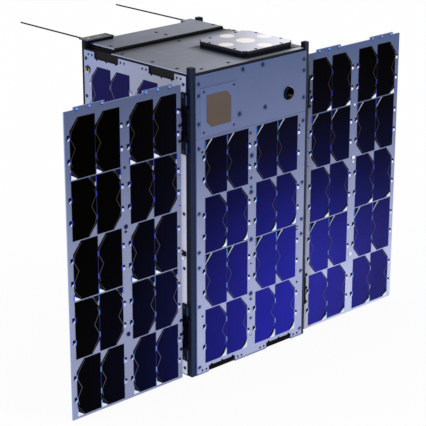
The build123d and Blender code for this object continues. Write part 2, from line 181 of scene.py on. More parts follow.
def placeCopies(master, spots, name, body, finish):
    # the master is thrown away at the end
    copies = []
    for spot in spots:
        piece = master.copy()
        piece.data = master.data.copy()
        piece.data.transform(spot)
        if spot.determinant() < 0:
            piece.data.flip_normals()
        bpy.context.scene.collection.objects.link(piece)
        copies.append(piece)
    clearSelection()
    for piece in copies:
        piece.select_set(True)
    bpy.context.view_layer.objects.active = copies[0]
    if len(copies) > 1:
        bpy.ops.object.join()
    joined = bpy.context.object
    joined.name = name
    joined.data.name = name
    joined.data.materials.clear()
    joined.data.materials.append(finish.material)
    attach(joined, body)


def placeOnFace(face, master, spots, ending, finish):
    placeCopies(master, spots, nodeOf[face] + ending, bodyOf[face], finish)


def placeOnBus(name, master, spots, finish):
    placeCopies(master, spots, name, "bus", finish)


def colour(red, green, blue):
    # screen values 0-255 to the linear values that a socket takes
    linear = []
    for value in (red, green, blue):
        share = value / 255
        linear.append(share / 12.92 if share <= 0.04045 else ((share + 0.055) / 1.055) ** 2.4)
    return (*linear, 1.0)


class Finish:
    # a node material with the few moves that this object's finishes share; colours in the
    # tables are three screen values, four numbers are a linear colour
    noiseReach = (0.3, 0.7)  # most of the noise lies between these

    def __init__(self, name, specular, metallic=0.0):
        self.material = bpy.data.materials.new(name)
        self.material.use_nodes = True
        self.tree = self.material.node_tree
        self.shader = self.tree.nodes["Principled BSDF"]
        self.shader.inputs["Metallic"].default_value = metallic
        self.shader.inputs["Specular IOR Level"].default_value = specular
        self.place = self.node("ShaderNodeTexCoord").outputs
        self.x, self.y, self.z = self.split(self.place["Object"])
        self.faceX, self.faceY, self.faceZ = self.split(self.place["Normal"])

    def node(self, kind, **settings):
        made = self.tree.nodes.new(kind)
        for key, value in settings.items():
            setattr(made, key, value)
        return made

    def feed(self, value, socket):
        if isinstance(value, (int, float)):
            socket.default_value = value
        elif isinstance(value, tuple):
            socket.default_value = colour(*value) if len(value) == 3 else value
        else:
            self.tree.links.new(value, socket)

    def split(self, vector):
        parts = self.node("ShaderNodeSeparateXYZ")
        self.feed(vector, parts.inputs[0])
        return tuple(parts.outputs)

    def maths(self, operation, first, second=0.0):
        made = self.node("ShaderNodeMath", operation=operation)
        self.feed(first, made.inputs[0])
        self.feed(second, made.inputs[1])
        return made.outputs[0]

    def spread(self, source, low, high, newLow=0.0, newHigh=1.0):
        made = self.node("ShaderNodeMapRange")
        for name, value in (("Value", source), ("From Min", low), ("From Max", high),
                            ("To Min", newLow), ("To Max", newHigh)):
            self.feed(value, made.inputs[name])
        return made.outputs["Result"]

    def ramp(self, source, stops, low=0.0, high=1.0, steps=False):
        # colour by a value that runs from low to high; stops are (value, colour)
        band = self.node("ShaderNodeValToRGB")
        band.color_ramp.interpolation = "CONSTANT" if steps else "LINEAR"
        points = band.color_ramp.elements
        points.remove(points[-1])
        for index, (value, shade) in enumerate(stops):
            share = (value - low) / (high - low)
            point = points[0] if index == 0 else points.new(share)
            point.position = share
            point.color = colour(*shade) if len(shade) == 3 else shade
        self.feed(self.spread(source, low, high), band.inputs["Fac"])
        return band.outputs["Color"]

    def byPlace(self, source, rows, low, high, steps=False):
        # rows are (place, red, green, blue), places in millimetres
        return self.ramp(source, [(place * mm, shade) for place, *shade in rows],
                         low * mm, high * mm, steps)

    def byHeight(self, rows, steps=False):
        return self.byPlace(self.z, rows, 0, 445, steps)

    def shares(self, source, rows, low=-120, high=120):
        # multipliers by place: rows are (place, grey) or (place, red, green, blue)
        return self.ramp(source, [(place * mm, (*(share * (3 // len(share))), 1))
                                  for place, *share in rows], low * mm, high * mm)

    def noise(self, scale, detail, stretch=None):
        grain = self.node("ShaderNodeTexNoise")
        grain.inputs["Scale"].default_value = scale
        grain.inputs["Detail"].default_value = detail
        vector = self.place["Object"]
        if stretch:
            squeeze = self.node("ShaderNodeMapping")
            squeeze.inputs["Scale"].default_value = stretch
            self.feed(vector, squeeze.inputs["Vector"])
            vector = squeeze.outputs["Vector"]
        self.feed(vector, grain.inputs["Vector"])
        return grain.outputs["Fac"]

    def mix(self, share, first, second, blend="MIX"):
        blender = self.node("ShaderNodeMix", data_type="RGBA", blend_type=blend)
        for socket, value in ((0, share), (6, first), (7, second)):
            self.feed(value, blender.inputs[socket])
        return blender.outputs[2]

    def times(self, base, other):
        return self.mix(1.0, base, other, "MULTIPLY")

    def mottle(self, base, scale, low, high, detail=3.0, stretch=None):
        # uneven shade: the colour times a grey that wanders from low to high
        greys = [(share, (grey, grey, grey, 1))
                 for share, grey in zip(self.noiseReach, (low, high))]
        return self.times(base, self.ramp(self.noise(scale, detail, stretch), greys))

    def wear(self, base, patches):
        # patches are what mottle takes after the colour
        for patch in patches:
            base = self.mottle(base, *patch)
        return base

    def both(self, first, second):
        # 1 where both masks are 1
        return self.maths("MULTIPLY", first, second)

    def within(self, source, low, high):
        # 1 where the value lies between low and high: a place in metres, or a facing, which
        # runs from -1 to 1
        return self.both(self.maths("GREATER_THAN", source, low),
                         self.maths("LESS_THAN", source, high))

    def coat(self, base, look):
        # rough is (scale, low, high, stretch), grain is (scale, strength, distance, stretch)
        self.feed(self.wear(base, look.get("patches", ())), self.shader.inputs["Base Color"])
        scale, low, high, *stretch = look["rough"]
        self.feed(self.spread(self.noise(scale, 3.0, *stretch), *self.noiseReach, low, high),
                  self.shader.inputs["Roughness"])
        scale, strength, distance, *stretch = look["grain"]
        bump = self.node("ShaderNodeBump")
        bump.inputs["Strength"].default_value = strength
        bump.inputs["Distance"].default_value = distance
        self.feed(self.noise(scale, 4.0, *stretch), bump.inputs["Height"])
        self.feed(bump.outputs["Normal"], self.shader.inputs["Normal"])
        return self


def dress(finish, *nodeNames):
    for nodeName in nodeNames:
        nodes[nodeName].data.materials.clear()
        nodes[nodeName].data.materials.append(finish.material)


# Panels: a pale satin board with a painted reflection that darkens towards the top, and painted
# light on the cut edges, blue on the front panels
panelLook = {
    "uneven": ((14, 0.97, 1.03), (420, 0.985, 1.015, 5.0)), "specular": 0.2,
    "rough": (60, 0.38, 0.5), "grain": (1400, 0.25, 0.00002),
    # cut-edge colours are painted light; the wing's head and foot get a duller painted light
    "frontEdge": (98, 128, 194), "wingEdge": (142, 164, 212), "wingEnd": (104, 118, 162),
    "sideEdge": (36, 46, 84), "groove": (84, 86, 100), "grooveHeights": (0.0022, 0.0033),
    # (place, multipliers) of painted shade and reflection: the sides from front to back, the right
    # wing from its hinge
    "sidePaintedShade": ((-103, 1.2, 1.18, 1.14), (-88, 0.98, 0.94, 0.85), (-60, 0.97, 0.91, 0.79),
                 (20, 1.0, 1.0, 1.0), (100, 0.88, 0.94, 1.04)),
    "wingPaintedShade": ((119, 0.82, 0.74, 0.68), (132, 0.86, 0.8, 0.74), (142, 1.0, 1.0, 1.0)),
    # (height, red, green, blue) of a painted reflection, darker towards the top
    "front": ((8, 176, 183, 222), (100, 166, 173, 211), (220, 140, 148, 185),
              (340, 102, 113, 151), (430, 81, 95, 134)),
    "leftWing": ((8, 146, 153, 189), (140, 147, 154, 188), (220, 136, 144, 178),
                 (340, 98, 108, 144), (422, 79, 91, 127)),
    "rightWing": ((8, 204, 211, 247), (60, 194, 201, 236), (110, 174, 181, 217),
                  (220, 141, 149, 186), (340, 97, 109, 147), (422, 74, 90, 130)),
    "side": ((8, 206, 209, 232), (120, 192, 194, 214), (250, 184, 186, 206),
             (380, 158, 163, 192), (430, 150, 158, 192)),
}


def makePanelFinish(name, look, edge, flat="faceY", paintedShade=None, along="y", reach=115):
    finish = Finish(name, panelLook["specular"])
    base = finish.byHeight(panelLook[look])
    # painted shade and reflection by place across the face, where given
    if paintedShade:
        base = finish.times(base, finish.shares(getattr(finish, along), panelLook[paintedShade],
                                                -reach, reach))
    base = finish.wear(base, panelLook["uneven"])
    if edge != "wingEdge":  # fine routed line along the lower edge
        base = finish.mix(finish.within(finish.z, *panelLook["grooveHeights"]), base,
                          panelLook["groove"])
    # the cut sides take the edge's painted light
    side = finish.within(getattr(finish, flat), -0.6, 0.6)
    base = finish.mix(side, base, panelLook[edge])
    # painted light: the head and foot of the wing's cut sides are duller than its left edge
    if edge == "wingEdge":  # its head and foot are duller than its left edge
        ends = finish.within(finish.faceX, -0.5, 0.5)
        base = finish.mix(finish.both(side, ends), base, panelLook["wingEnd"])
    return finish.coat(base, panelLook)


dress(makePanelFinish("front panel coat", "front", "frontEdge"),
      "front_solar_panel", "front_upper_panel", "rear_panel")
dress(makePanelFinish("side panel coat", "side", "sideEdge", "faceX", "sidePaintedShade"),
      "left_panel", "right_panel")
dress(makePanelFinish("left wing coat", "leftWing", "wingEdge"), "left_wing_panel")
dress(makePanelFinish("right wing coat", "rightWing", "wingEdge", "faceY", "wingPaintedShade", "x", 320),
      "right_wing_panel")


def shareFinishes(finishes):
    # faces that look alike
    for face, other in (("rear", "front"), ("right", "left"), ("rightWing", "front")):
        finishes.setdefault(face, finishes[other])


# Solar cells: dark cover glass with a painted reflection, near black at the top and deep blue
# lower down. Stops are (height, red, green, blue), slope is (x, multipliers of red, green
# and blue) of that painted reflection.
cellLook = {
    "uneven": ((30, 0.94, 1.06),), "rough": (90, 0.16, 0.26), "grain": (700, 0.12, 0.00001),
    "fingerPitch": 0.0011, "waveLength": 0.314, "fingerFrom": 0.85,
    "fingerLight": (1.25, 1.25, 1.3, 1),
    "front": {"name": "front cell glass", "specular": 0.008,
              "stops": ((20, 39, 39, 143), (130, 34, 35, 126), (200, 27, 28, 100),
                        (240, 20, 21, 75), (300, 12, 12, 37), (340, 8, 8, 20)),
              "slope": ((-80, 0.56, 0.56, 0.6), (30, 0.98, 0.98, 1.2), (80, 1.1, 1.1, 1.36))},
    "leftWing": {"name": "left wing cell glass", "specular": 0.002,
                 "stops": ((20, 14, 15, 44), (140, 11, 12, 32), (220, 8, 8, 19),
                           (300, 6, 6, 10), (400, 5, 4, 5)),
                 "slope": ((-310, 0.4, 0.4, 0.08), (-240, 0.52, 0.52, 0.28),
                           (-180, 0.88, 0.88, 0.95), (-130, 1.4, 1.4, 2.3))},
    "rightWing": {"name": "right wing cell glass", "specular": 0.002,
                  "stops": ((20, 42, 41, 129), (110, 40, 39, 128), (180, 28, 29, 97),
                            (220, 20, 21, 70), (260, 14, 15, 45), (320, 8, 8, 18),
                            (400, 5, 4, 5)),
                  "slope": ((150, 1.2, 1.2, 1.4), (290, 0.92, 0.92, 0.7))},
    "left": {"name": "side cell glass", "specular": 0.008,
             "stops": ((20, 31, 30, 98), (250, 29, 28, 88), (400, 26, 25, 75)),
             "slope": ((-100, 1.0), (100, 1.0))},
}


def makeCellFinish(name, specular, stops, slope):
    finish = Finish(name, specular)
    # painted reflection by height, times its painted change across the face
    base = finish.times(finish.byHeight(stops),
                        finish.shares(finish.x, slope, slope[0][0], slope[-1][0]))
    base = finish.wear(base, cellLook["uneven"])
    fingers = finish.node("ShaderNodeTexWave", wave_type="BANDS", bands_direction="Z",
                          wave_profile="SIN")
    fingers.inputs["Scale"].default_value = cellLook["waveLength"] / cellLook["fingerPitch"]
    finish.feed(finish.place["Object"], fingers.inputs["Vector"])
    line = finish.ramp(fingers.outputs["Fac"], (
        (0.0, (1, 1, 1, 1)), (cellLook["fingerFrom"], (1, 1, 1, 1)),
        (1.0, cellLook["fingerLight"])))
    return finish.coat(finish.times(base, line), cellLook)


cellFinishes = {face: makeCellFinish(**cellLook[face])
                for face in ("front", "leftWing", "rightWing", "left")}
shareFinishes(cellFinishes)

# Corner tiles: polished plates with a painted reflection, black in the head corners and white in
# the foot corners
tileLook = {"black": (9, 9, 12), "white": (236, 240, 248), "patches": ((200, 0.94, 1.04),),
            "rough": (300, 0.2, 0.34), "grain": (900, 0.15, 0.00001),
            "frontBands": (0, 97, 179.1, 260), "bands": (0, 90, 167.4, 250, 331.2)}


def makeTileFinish(name, bands):
    # painted reflection: white at the foot, then black and white by turns
    finish = Finish(name, 0.03)
    base = finish.byHeight([(height, *tileLook["black" if index % 2 else "white"])
                            for index, height in enumerate(bands)], steps=True)
    return finish.coat(base, tileLook)


frontTiles = makeTileFinish("front corner tile", tileLook["frontBands"])
otherTiles = makeTileFinish("corner tile", tileLook["bands"])
for face in faces:
    dress(cellFinishes[face], nodeOf[face] + "_cells")
    dress(frontTiles if face == "front" else otherTiles, nodeOf[face] + "_diodes")

# Rails: hard black finish, darker towards the top, with a painted blue light on the outer edge and
# a greyer painted light on the right rail's front; rows are (height, red, green, blue)
railLook = {
    "side": ((60, 36, 39, 50), (240, 35, 38, 48), (345, 26, 29, 44), (430, 18, 20, 36)),
    "front": ((8, 42, 50, 76), (430, 30, 35, 50)),
    "edge": ((8, 44, 60, 98), (430, 28, 42, 76)),
    "right": ((8, 50, 52, 62), (430, 42, 43, 50)),
    "patches": ((25, 0.9, 1.1, 3.0, (1, 1, 0.1)), (500, 0.95, 1.06, 4.0)),
    "rough": (120, 0.36, 0.5, (1, 1, 0.15)), "grain": (1600, 0.3, 0.00002, (1, 1, 0.1)),
}
rail = Finish("rail hard coat", 0.05)
sideFace, railFace, railEdgeLight, rightFace = (
    rail.byHeight(railLook[look]) for look in ("side", "front", "edge", "right"))
# the right rail's front takes a greyer painted light than the left's
railFace = rail.mix(rail.within(rail.x, 0.0, 0.2), railFace, rightFace)
alongY = rail.maths("ABSOLUTE", rail.faceY)
base = rail.mix(rail.both(rail.within(alongY, 0.8, 1.1), rail.within(rail.y, -0.2, 0.0)),
                sideFace, railFace)
# faces that half look forward, on the outer edge, take the painted blue light
base = rail.mix(rail.within(alongY, 0.3, 0.8), base, railEdgeLight)
dress(rail.coat(base, railLook), "rail_front_left", "rail_front_right", "rail_rear_left",
      "rail_rear_right")

# Decks and housing: milled grey top faces, black walls, a painted highlight on the corners that
# look left. Rows are (x, red, green, blue) for the top, and (place, multiplier) for its painted
# soft shade.
milledLook = {"uneven": ((9, 0.97, 1.03), (300, 0.985, 1.015, 5.0)), "specular": 0.06,
              "rough": (140, 0.42, 0.56, (0.3, 1, 1)), "grain": (900, 0.3, 0.00002, (0.3, 1, 1))}
deckLook = {"top": ((-110, 110, 113, 125), (0, 128, 131, 143), (110, 150, 153, 166)),
            # the lip is a painted highlight on corners that look left; low is painted shade on the
            # low tops
            "wall": (24, 23, 26), "lip": (160, 170, 204), "lowest": 0.4342, "low": (4, 4, 6),
            "byDepth": ((-110, 1.34), (-90, 1.3), (-60, 1.1), (-20, 0.97), (10, 0.88),
                        (26, 0.78), (34, 0.66), (40, 0.52), (44, 0.36), (48, 0.25)),
            "behindArray": ((-110, 1.34), (-90, 1.3), (-60, 1.2), (0, 1.42), (15, 1.37),
                            (26, 1.09), (34, 0.79), (40, 0.62), (44, 0.33), (48, 0.25)),
            "besideArray": ((-20, 1.0), (-12, 0.72), (-8, 0.53), (-4, 0.34), (0, 0.12),
                            (97, 0.12), (101, 0.34), (105, 0.53), (109, 0.72), (116, 1.0)),
            "beforeArray": ((-20, 1.0), (-5, 0.75), (0, 0.5), (40, 0.5), (70, 0.62),
                            (82, 1.0), (90, 1.5), (112, 1.3)),
            "arrayFront": -0.1026, "arrayBack": 0.002}
housingLook = {"top": ((-104, 101, 104, 116), (0, 117, 120, 132), (104, 134, 137, 150)),
               # the lip is a painted highlight on faces that look left, the corner one a painted
               # reflection of the board's blue side
               "wall": (10, 10, 14), "lip": (146, 152, 174), "lowest": 0.43,
               "flankFrom": 0.4386, "cornerReflection": (50, 80, 150), "cornerFrom": 0.097}


def makeDeckFinish(name, look):
    # only faces that look up and lie above the lowest height show the milled grey
    finish = Finish(name, milledLook["specular"])
    top = finish.wear(finish.byPlace(finish.x, look["top"], -120, 120), milledLook["uneven"])
    upward, wall = finish.within(finish.faceZ, 0.9, 1.1), look["wall"]
    if look is deckLook:  # soft shade in front of the housing and round the array's base
        rightward = finish.ramp(finish.x, ((-0.01, (0, 0, 0, 1)), (0.06, (1, 1, 1, 1))),
                                -0.12, 0.12)
        top = finish.times(top, finish.mix(rightward, finish.shares(finish.y, look["byDepth"]),
                                           finish.shares(finish.y, look["behindArray"])))
        for rows, start, end in (("besideArray", look["arrayFront"], look["arrayBack"]),
                                 ("beforeArray", -0.12, look["arrayFront"])):
            top = finish.mix(finish.within(finish.y, start, end), top,
                             finish.times(top, finish.shares(finish.x, look[rows])))
        # up-facing faces below the lowest height: painted shade, near black
        shadedLowTop = finish.both(upward, finish.within(finish.z, 0.43, look["lowest"]))
        wall = finish.mix(shadedLowTop, wall, look["low"])
    base = finish.mix(upward, wall, top)
    # corners that look left: painted highlight
    base = finish.mix(finish.within(finish.faceX, -0.9, -0.5), base, look["lip"])
    base = finish.mix(finish.within(finish.z, look["lowest"], 0.5), wall, base)
    if look is housingLook:
        # faces that look left: painted highlight on the upper band, the wall's black below
        high = finish.within(finish.z, look["flankFrom"], 0.5)
        flank = finish.mix(high, look["wall"], look["lip"])
        base = finish.mix(finish.within(finish.faceX, -1.1, -0.9), base, flank)
        # painted reflection: beside the corner board the highlight takes the blue of the board's
        # side
        boardReflection = finish.both(  # the lip beside the corner board mirrors its blue side
            finish.within(finish.y, look["cornerFrom"], 0.12),
            finish.both(finish.within(finish.faceX, -1.1, -0.5), high))
        base = finish.mix(boardReflection, base, look["cornerReflection"])
    return finish.coat(base, milledLook)


dress(makeDeckFinish("milled deck", deckLook), "top_deck")
dress(makeDeckFinish("milled housing", housingLook), "antenna_housing")

# Array antenna: pale board over a black base, with five cream discs. Board and discs carry a
# painted light by x minus y, brighter from the array's far left corner to its near right one.
arrayLook = {
    "board": {"shades": ((20, 150, 152, 167), (80, 181, 182, 197), (120, 208, 208, 224),
                         (170, 232, 236, 249)), "wall": (44, 42, 44),
              "uneven": ((350, 0.98, 1.02, 4.0),), "rough": (200, 0.4, 0.52),
              "grain": (1200, 0.25, 0.00002)},
    "discs": {"shades": ((40, 226, 213, 209), (100, 252, 242, 236), (150, 255, 253, 252)),
              "patches": ((600, 0.985, 1.01, 4.0),), "rough": (400, 0.35, 0.5),
              "grain": (1500, 0.2, 0.00001)},
    "base": {"shades": ((435, 14, 16, 26), (439.2, 6, 6, 11), (440.4, 26, 29, 50)),
             "patches": ((300, 0.9, 1.1),), "rough": (200, 0.36, 0.5),
             "grain": (1200, 0.25, 0.00002)},
}
board, look = Finish("array board", 0.06), arrayLook["board"]
top = board.byPlace(board.maths("SUBTRACT", board.x, board.y), look["shades"], 0, 200)
base = board.mix(board.within(board.faceZ, 0.9, 1.1), look["wall"],
                 board.wear(top, look["uneven"]))
dress(board.coat(base, look), "array_board")
disc, look = Finish("ceramic disc", 0.2), arrayLook["discs"]
base = disc.byPlace(disc.maths("SUBTRACT", disc.x, disc.y), look["shades"], 0, 200)
dress(disc.coat(base, look), "array_discs")
arrayBase, look = Finish("array base", 0.04), arrayLook["base"]
base = arrayBase.byPlace(arrayBase.z, look["shades"], 430, 445, steps=True)
dress(arrayBase.coat(base, look), "array_base")

# The plainer finishes: a base shade, uneven patches, worn roughness and fine grain
coarse, fine = (900, 0.3, 0.00002), (1500, 0.3, 0.00001)
finer, rougher = 8, 3  # scale of the finer patches and of the roughness, times the patch's


def makePlainFinish(name, shade, roughness, specular, patch=(60, 0.93, 1.07), grain=coarse,
                    metallic=0.0, stretch=None):
    finish = Finish(name, specular, metallic)
    scale = patch[0]
    return finish.coat(shade, {
        "patches": ((scale * finer, 0.97, 1.03, 4.0), (*patch, 3.0, stretch)),
        "rough": (scale * rougher, *roughness, stretch), "grain": (*grain, stretch)})


def makeSmallFinish(name, shade, roughness, specular, patch=(400, 0.92, 1.06), metallic=0.0):
    return makePlainFinish(name, shade, roughness, specular, patch, fine, metallic)


# Black fittings, whose front sides catch a blue light at some heights
fittingLook = {"shade": (12, 12, 27), "bodyEdge": (46, 70, 114), "wingEdge": (74, 102, 158),
               "patches": ((150, 0.92, 1.08),), "rough": (200, 0.34, 0.48),
               "grain": (1200, 0.3, 0.00002),
               "bodyBands": ((0.3935, 0.407), (0.326, 0.3415), (0.093, 0.107), (0.026, 0.041)),
               "wingBands": ((0.37, 0.377), (0.3575, 0.3645), (0.0695, 0.0765),
                             (0.057, 0.064))}


def makeFittingFinish(name, edge, bands):
    finish = Finish(name, 0.03)
    base = fittingLook["shade"]
    front = finish.within(finish.faceY, -1.1, -0.7)
    for low, high in fittingLook[bands]:
        base = finish.mix(finish.both(finish.within(finish.z, low, high), front), base,
                          fittingLook[edge])
    return finish.coat(base, fittingLook)


blackFitting = makeFittingFinish("black fitting", "bodyEdge", "bodyBands")
dress(blackFitting, "left_body_leaves", "right_body_leaves")
dress(makeFittingFinish("wing fitting", "wingEdge", "wingBands"),
      "left_wing_leaves", "right_wing_leaves")

# Sensor: a dark hood, with a blue-grey painted light where it looks to the left, a brown painted
# reflection inside and a pale painted highlight on the rim's upper right
sensorLook = {"flange": (8, 9, 17), "hood": (32, 44, 74), "bore": (6, 5, 6),
              "inside": (112, 100, 94), "arc": (172, 168, 178),
              # places in metres: x from and to, then z from and to
              "boreAcross": (0.0703, 0.085), "insideAcross": (0.0735, 0.085),
              "insideUp": (0.36, 0.3745), "arcAcross": (0.07, 0.085), "arcUp": (0.38, 0.39),
              "middle": (0.0703, -0.11565, 0.3778), "rim": (0.009, 0.011),
              "patches": ((300, 0.9, 1.1),), "rough": (400, 0.4, 0.52),
              "grain": (1500, 0.3, 0.00002)}
sensor = Finish("sensor barrel", 0.03)
# faces that look left take a blue-grey painted light
leftward = sensor.within(sensor.faceX, -1.1, -0.25)
base = sensor.mix(leftward, sensorLook["flange"], sensorLook["hood"])
base = sensor.mix(sensor.both(leftward, sensor.within(sensor.x, *sensorLook["boreAcross"])), base,
                  sensorLook["bore"])
# a brown painted reflection on the lower right of the inside
lowRight = sensor.both(sensor.within(sensor.z, *sensorLook["insideUp"]),
                       sensor.within(sensor.x, *sensorLook["insideAcross"]))
base = sensor.mix(sensor.both(leftward, lowRight), base, sensorLook["inside"])
fromMiddle = sensor.node("ShaderNodeVectorMath", operation="DISTANCE")
sensor.feed(sensor.place["Object"], fromMiddle.inputs[0])
fromMiddle.inputs[1].default_value = sensorLook["middle"]
rim = sensor.both(sensor.within(sensor.faceY, -1.1, -0.8),
                  sensor.within(fromMiddle.outputs["Value"], *sensorLook["rim"]))
# a pale painted highlight on the rim's upper right
highRight = sensor.both(sensor.within(sensor.x, *sensorLook["arcAcross"]),
                        sensor.within(sensor.z, *sensorLook["arcUp"]))
base = sensor.mix(sensor.both(rim, highRight), base, sensorLook["arc"])
dress(sensor.coat(base, sensorLook), "sensor_barrel")

# The nodes with a plain finish, then those whose shade depends on where a face is or looks
plainLook = {
    "bottom_deck": ("bottom deck coat", (8, 8, 12), (0.42, 0.56), 0.03, (60, 0.93, 1.07),
                    coarse, 0.0, (0.3, 1, 1)),
    "sensor_lens": ("sensor glass", (5, 4, 5), (0.08, 0.16), 0.03, (40, 0.9, 1.1),
                    (400, 0.3, 0.000005)),
    "antenna_rods": ("rod", (34, 29, 26), (0.34, 0.46), 0.06, (120, 0.92, 1.05),
                     (1600, 0.3, 0.00001), 0.0, (1, 0.05, 1)),
    "equipment_stack": ("stack", (96, 98, 104), (0.45, 0.6), 0.3),
    "patch_element": ("antenna ceramic", (89, 78, 70), (0.5, 0.62), 0.16, (45, 0.97, 1.03)),
}
for nodeName, look in plainLook.items():
    dress(makePlainFinish(*look), nodeName)
dress(makePlainFinish("dark steel", (24, 25, 36), (0.3, 0.42), 0.08, (120, 0.9, 1.06), fine, 0.3,
                      (1, 1, 0.1)), "left_hinge_pins", "right_hinge_pins")

spacerLook = {"shade": (8, 8, 11), "shadePatch": (400, 0.9, 1.1), "front": (18, 20, 30),
              "frontPatch": (400, 0.94, 1.06), "rough": (180, 0.4, 0.5), "grain": coarse}
spacer = Finish("spacer coat", 0.03)
base = spacer.mix(spacer.within(spacer.faceY, -1.1, -0.8),
                  *(spacer.mottle(spacerLook[side], *spacerLook[side + "Patch"])
                    for side in ("shade", "front")))
dress(spacer.coat(base, spacerLook), "board_spacer")

# Side port: a painted white highlight at the bottom, gold above it and dark at the top
portLook = {"bands": ((390, 235, 236, 242), (401.7, 152, 134, 92), (406.8, 24, 28, 44)),
            "patches": ((600, 0.94, 1.05),), "rough": (900, 0.28, 0.4), "grain": fine}
port = Finish("gold port", 0.1)
base = port.byPlace(port.z, portLook["bands"], 390, 420, steps=True)
dress(port.coat(base, portLook), "side_port")

boardLook = {"top": ((-116, 102, 102, 102), (-73, 102, 102, 102), (-69, 64, 63, 62)),
             "side": (38, 42, 60), "end": (60, 66, 92), "uneven": ((700, 0.72, 1.14, 4.0),),
             "patches": ((160, 0.92, 1.06),), "rough": (300, 0.46, 0.6),
             "grain": (1400, 0.3, 0.00003)}
corner = Finish("corner board", 0.06)
base = corner.wear(corner.byPlace(corner.x, boardLook["top"], -120, 0), boardLook["uneven"])
base = corner.mix(corner.within(corner.faceZ, -0.5, 0.5), base, boardLook["side"])
base = corner.mix(corner.within(corner.faceX, -1.1, -0.5), base, boardLook["end"])
dress(corner.coat(base, boardLook), "corner_board")

# Antenna plate: darker towards the top like the panel's painted reflection, with painted light on
# its left and right sides
patchLook = {"front": ((348, 102, 113, 153), (415, 86, 101, 143)), "leftEdge": (150, 165, 215),
             "rightEdge": (104, 110, 168), "patches": ((300, 0.985, 1.015),),
             "rough": (90, 0.38, 0.5), "grain": (1300, 0.3, 0.00002)}
patch = Finish("antenna plate", 0.2)
base = patch.mix(patch.within(patch.faceX, -1.1, -0.5), patch.byHeight(patchLook["front"]),
                 patchLook["leftEdge"])
base = patch.mix(patch.within(patch.faceX, 0.5, 1.1), base, patchLook["rightEdge"])
dress(patch.coat(base, patchLook), "patch_base")
print("finishes on the frame's nodes are set")


# Polished tabs mirror a dark ceiling above and a white floor below
tabLook = {"change": 0.06, "patches": ((500, 0.95, 1.04),), "rough": (400, 0.22, 0.34),
           "grain": (1500, 0.15, 0.00001)}


def makeTabFinish(name, upper, lower, ridge, flank=None):
    finish = Finish(name, 0.04)
    base = finish.ramp(finish.faceZ, ((ridge - tabLook["change"], lower), (ridge, upper)), -1, 1)
    if flank:
        base = finish.mix(finish.within(finish.faceX, -1.1, -0.6), base, flank)
    return finish.coat(base, tabLook)


# Small parts with a painted blue light that goes by height; rows are (height, red, green, blue)
blueLook = {
    "clip foot": ((20, 122, 168, 245), (150, 92, 138, 232), (280, 60, 108, 215),
                  (340, 46, 88, 205), (400, 40, 50, 165)),
    "tile edge": ((20, 160, 205, 255), (150, 100, 158, 252), (280, 58, 118, 238),
                  (340, 46, 104, 230), (400, 42, 60, 200)),
    "wing clip foot": ((20, 120, 168, 245), (150, 60, 104, 225), (260, 42, 68, 205),
                       (330, 40, 48, 176), (400, 38, 40, 150)),
    "wing tile edge": ((20, 150, 200, 255), (150, 64, 118, 240), (260, 48, 78, 218),
                       (330, 42, 54, 192), (400, 40, 44, 168)),
    "side clip foot": ((20, 104, 112, 168), (400, 96, 104, 160)),
    "gap strip": ((20, 52, 54, 140), (140, 48, 50, 118), (260, 44, 43, 90),
                  (335, 44, 43, 84), (350, 28, 30, 58), (400, 22, 26, 50)),
    "patches": ((300, 0.94, 1.05),), "rough": (400, 0.25, 0.4), "grain": (1500, 0.15, 0.00001),
}


def makeBlueFinish(name):
    finish = Finish(name, 0.05)
    return finish.coat(finish.byHeight(blueLook[name]), blueLook)


cellGrid = {
    "width": 40.15, "height": 80.15, "pairGap": 1.1, "middleGap": 16.4, "pitch": 81.9,
    "cropAcross": 13.0, "cropUp": 16.0, "thickness": 0.5,
    "heads": {"front": 342.0, "left": 412.1, "right": 412.1, "rear": 412.1,
              "leftWing": 412.2, "rightWing": 412.2},
    "rows": {"front": 4, "left": 5, "right": 5, "rear": 5, "leftWing": 5, "rightWing": 5},
    "firstSide": {"front": -1, "left": -1, "right": 1, "rear": -1, "leftWing": -1,
                  "rightWing": 1},
}
cellWidth, halfCell, halfGap = cellGrid["width"], cellGrid["height"] / 2, cellGrid["middleGap"] / 2
nextCell = cellWidth + cellGrid["pairGap"]
cellLefts = (-halfGap - cellWidth - nextCell, -halfGap - cellWidth, halfGap, halfGap + nextCell)
mirrorAcross = Matrix.Scale(-1, 4, (1, 0, 0))
mirrorUp = Matrix.Scale(-1, 4, (0, 0, 1))


def cellsOf(face):
    # (left edge, head, cropped side, tile at head) of each cell on a face
    found = []
    for row in range(cellGrid["rows"][face]):
        odd = row % 2 == 1
        side = cellGrid["firstSide"][face] * (-1 if odd else 1)
        atHead = odd if face != "front" else not odd
        head = cellGrid["heads"][face] - row * cellGrid["pitch"]
        found += [(left, head, side, atHead) for left in cellLefts]
    return found


def cellSpot(face, left, head, side, lift):
    # the cropped side's edge at half height; the master runs inward along +X
    spot = spotOn(face, left if side < 0 else left + cellWidth, head - halfCell, lift)
    return spot if side < 0 else spot @ mirrorAcross


# Conductor line along the cropped side of each cell, with a notch at half height
lineLook = {"width": 1.1, "thickness": 0.12, "inset": 0.77, "notchDepth": 8.2, "notchHalf": 13.5,
            "slopeStart": (1.7, 1.0), "belowSlope": 7.5, "footEnd": (0.6, 1.6),
            "shades": ((20, 84, 80, 104), (200, 74, 68, 76), (300, 58, 51, 44),
                       (420, 48, 42, 38)), "sideShade": (98, 92, 96),
            "patches": ((300, 0.94, 1.05),), "rough": (400, 0.36, 0.5),
            "grain": (1500, 0.15, 0.00001)}


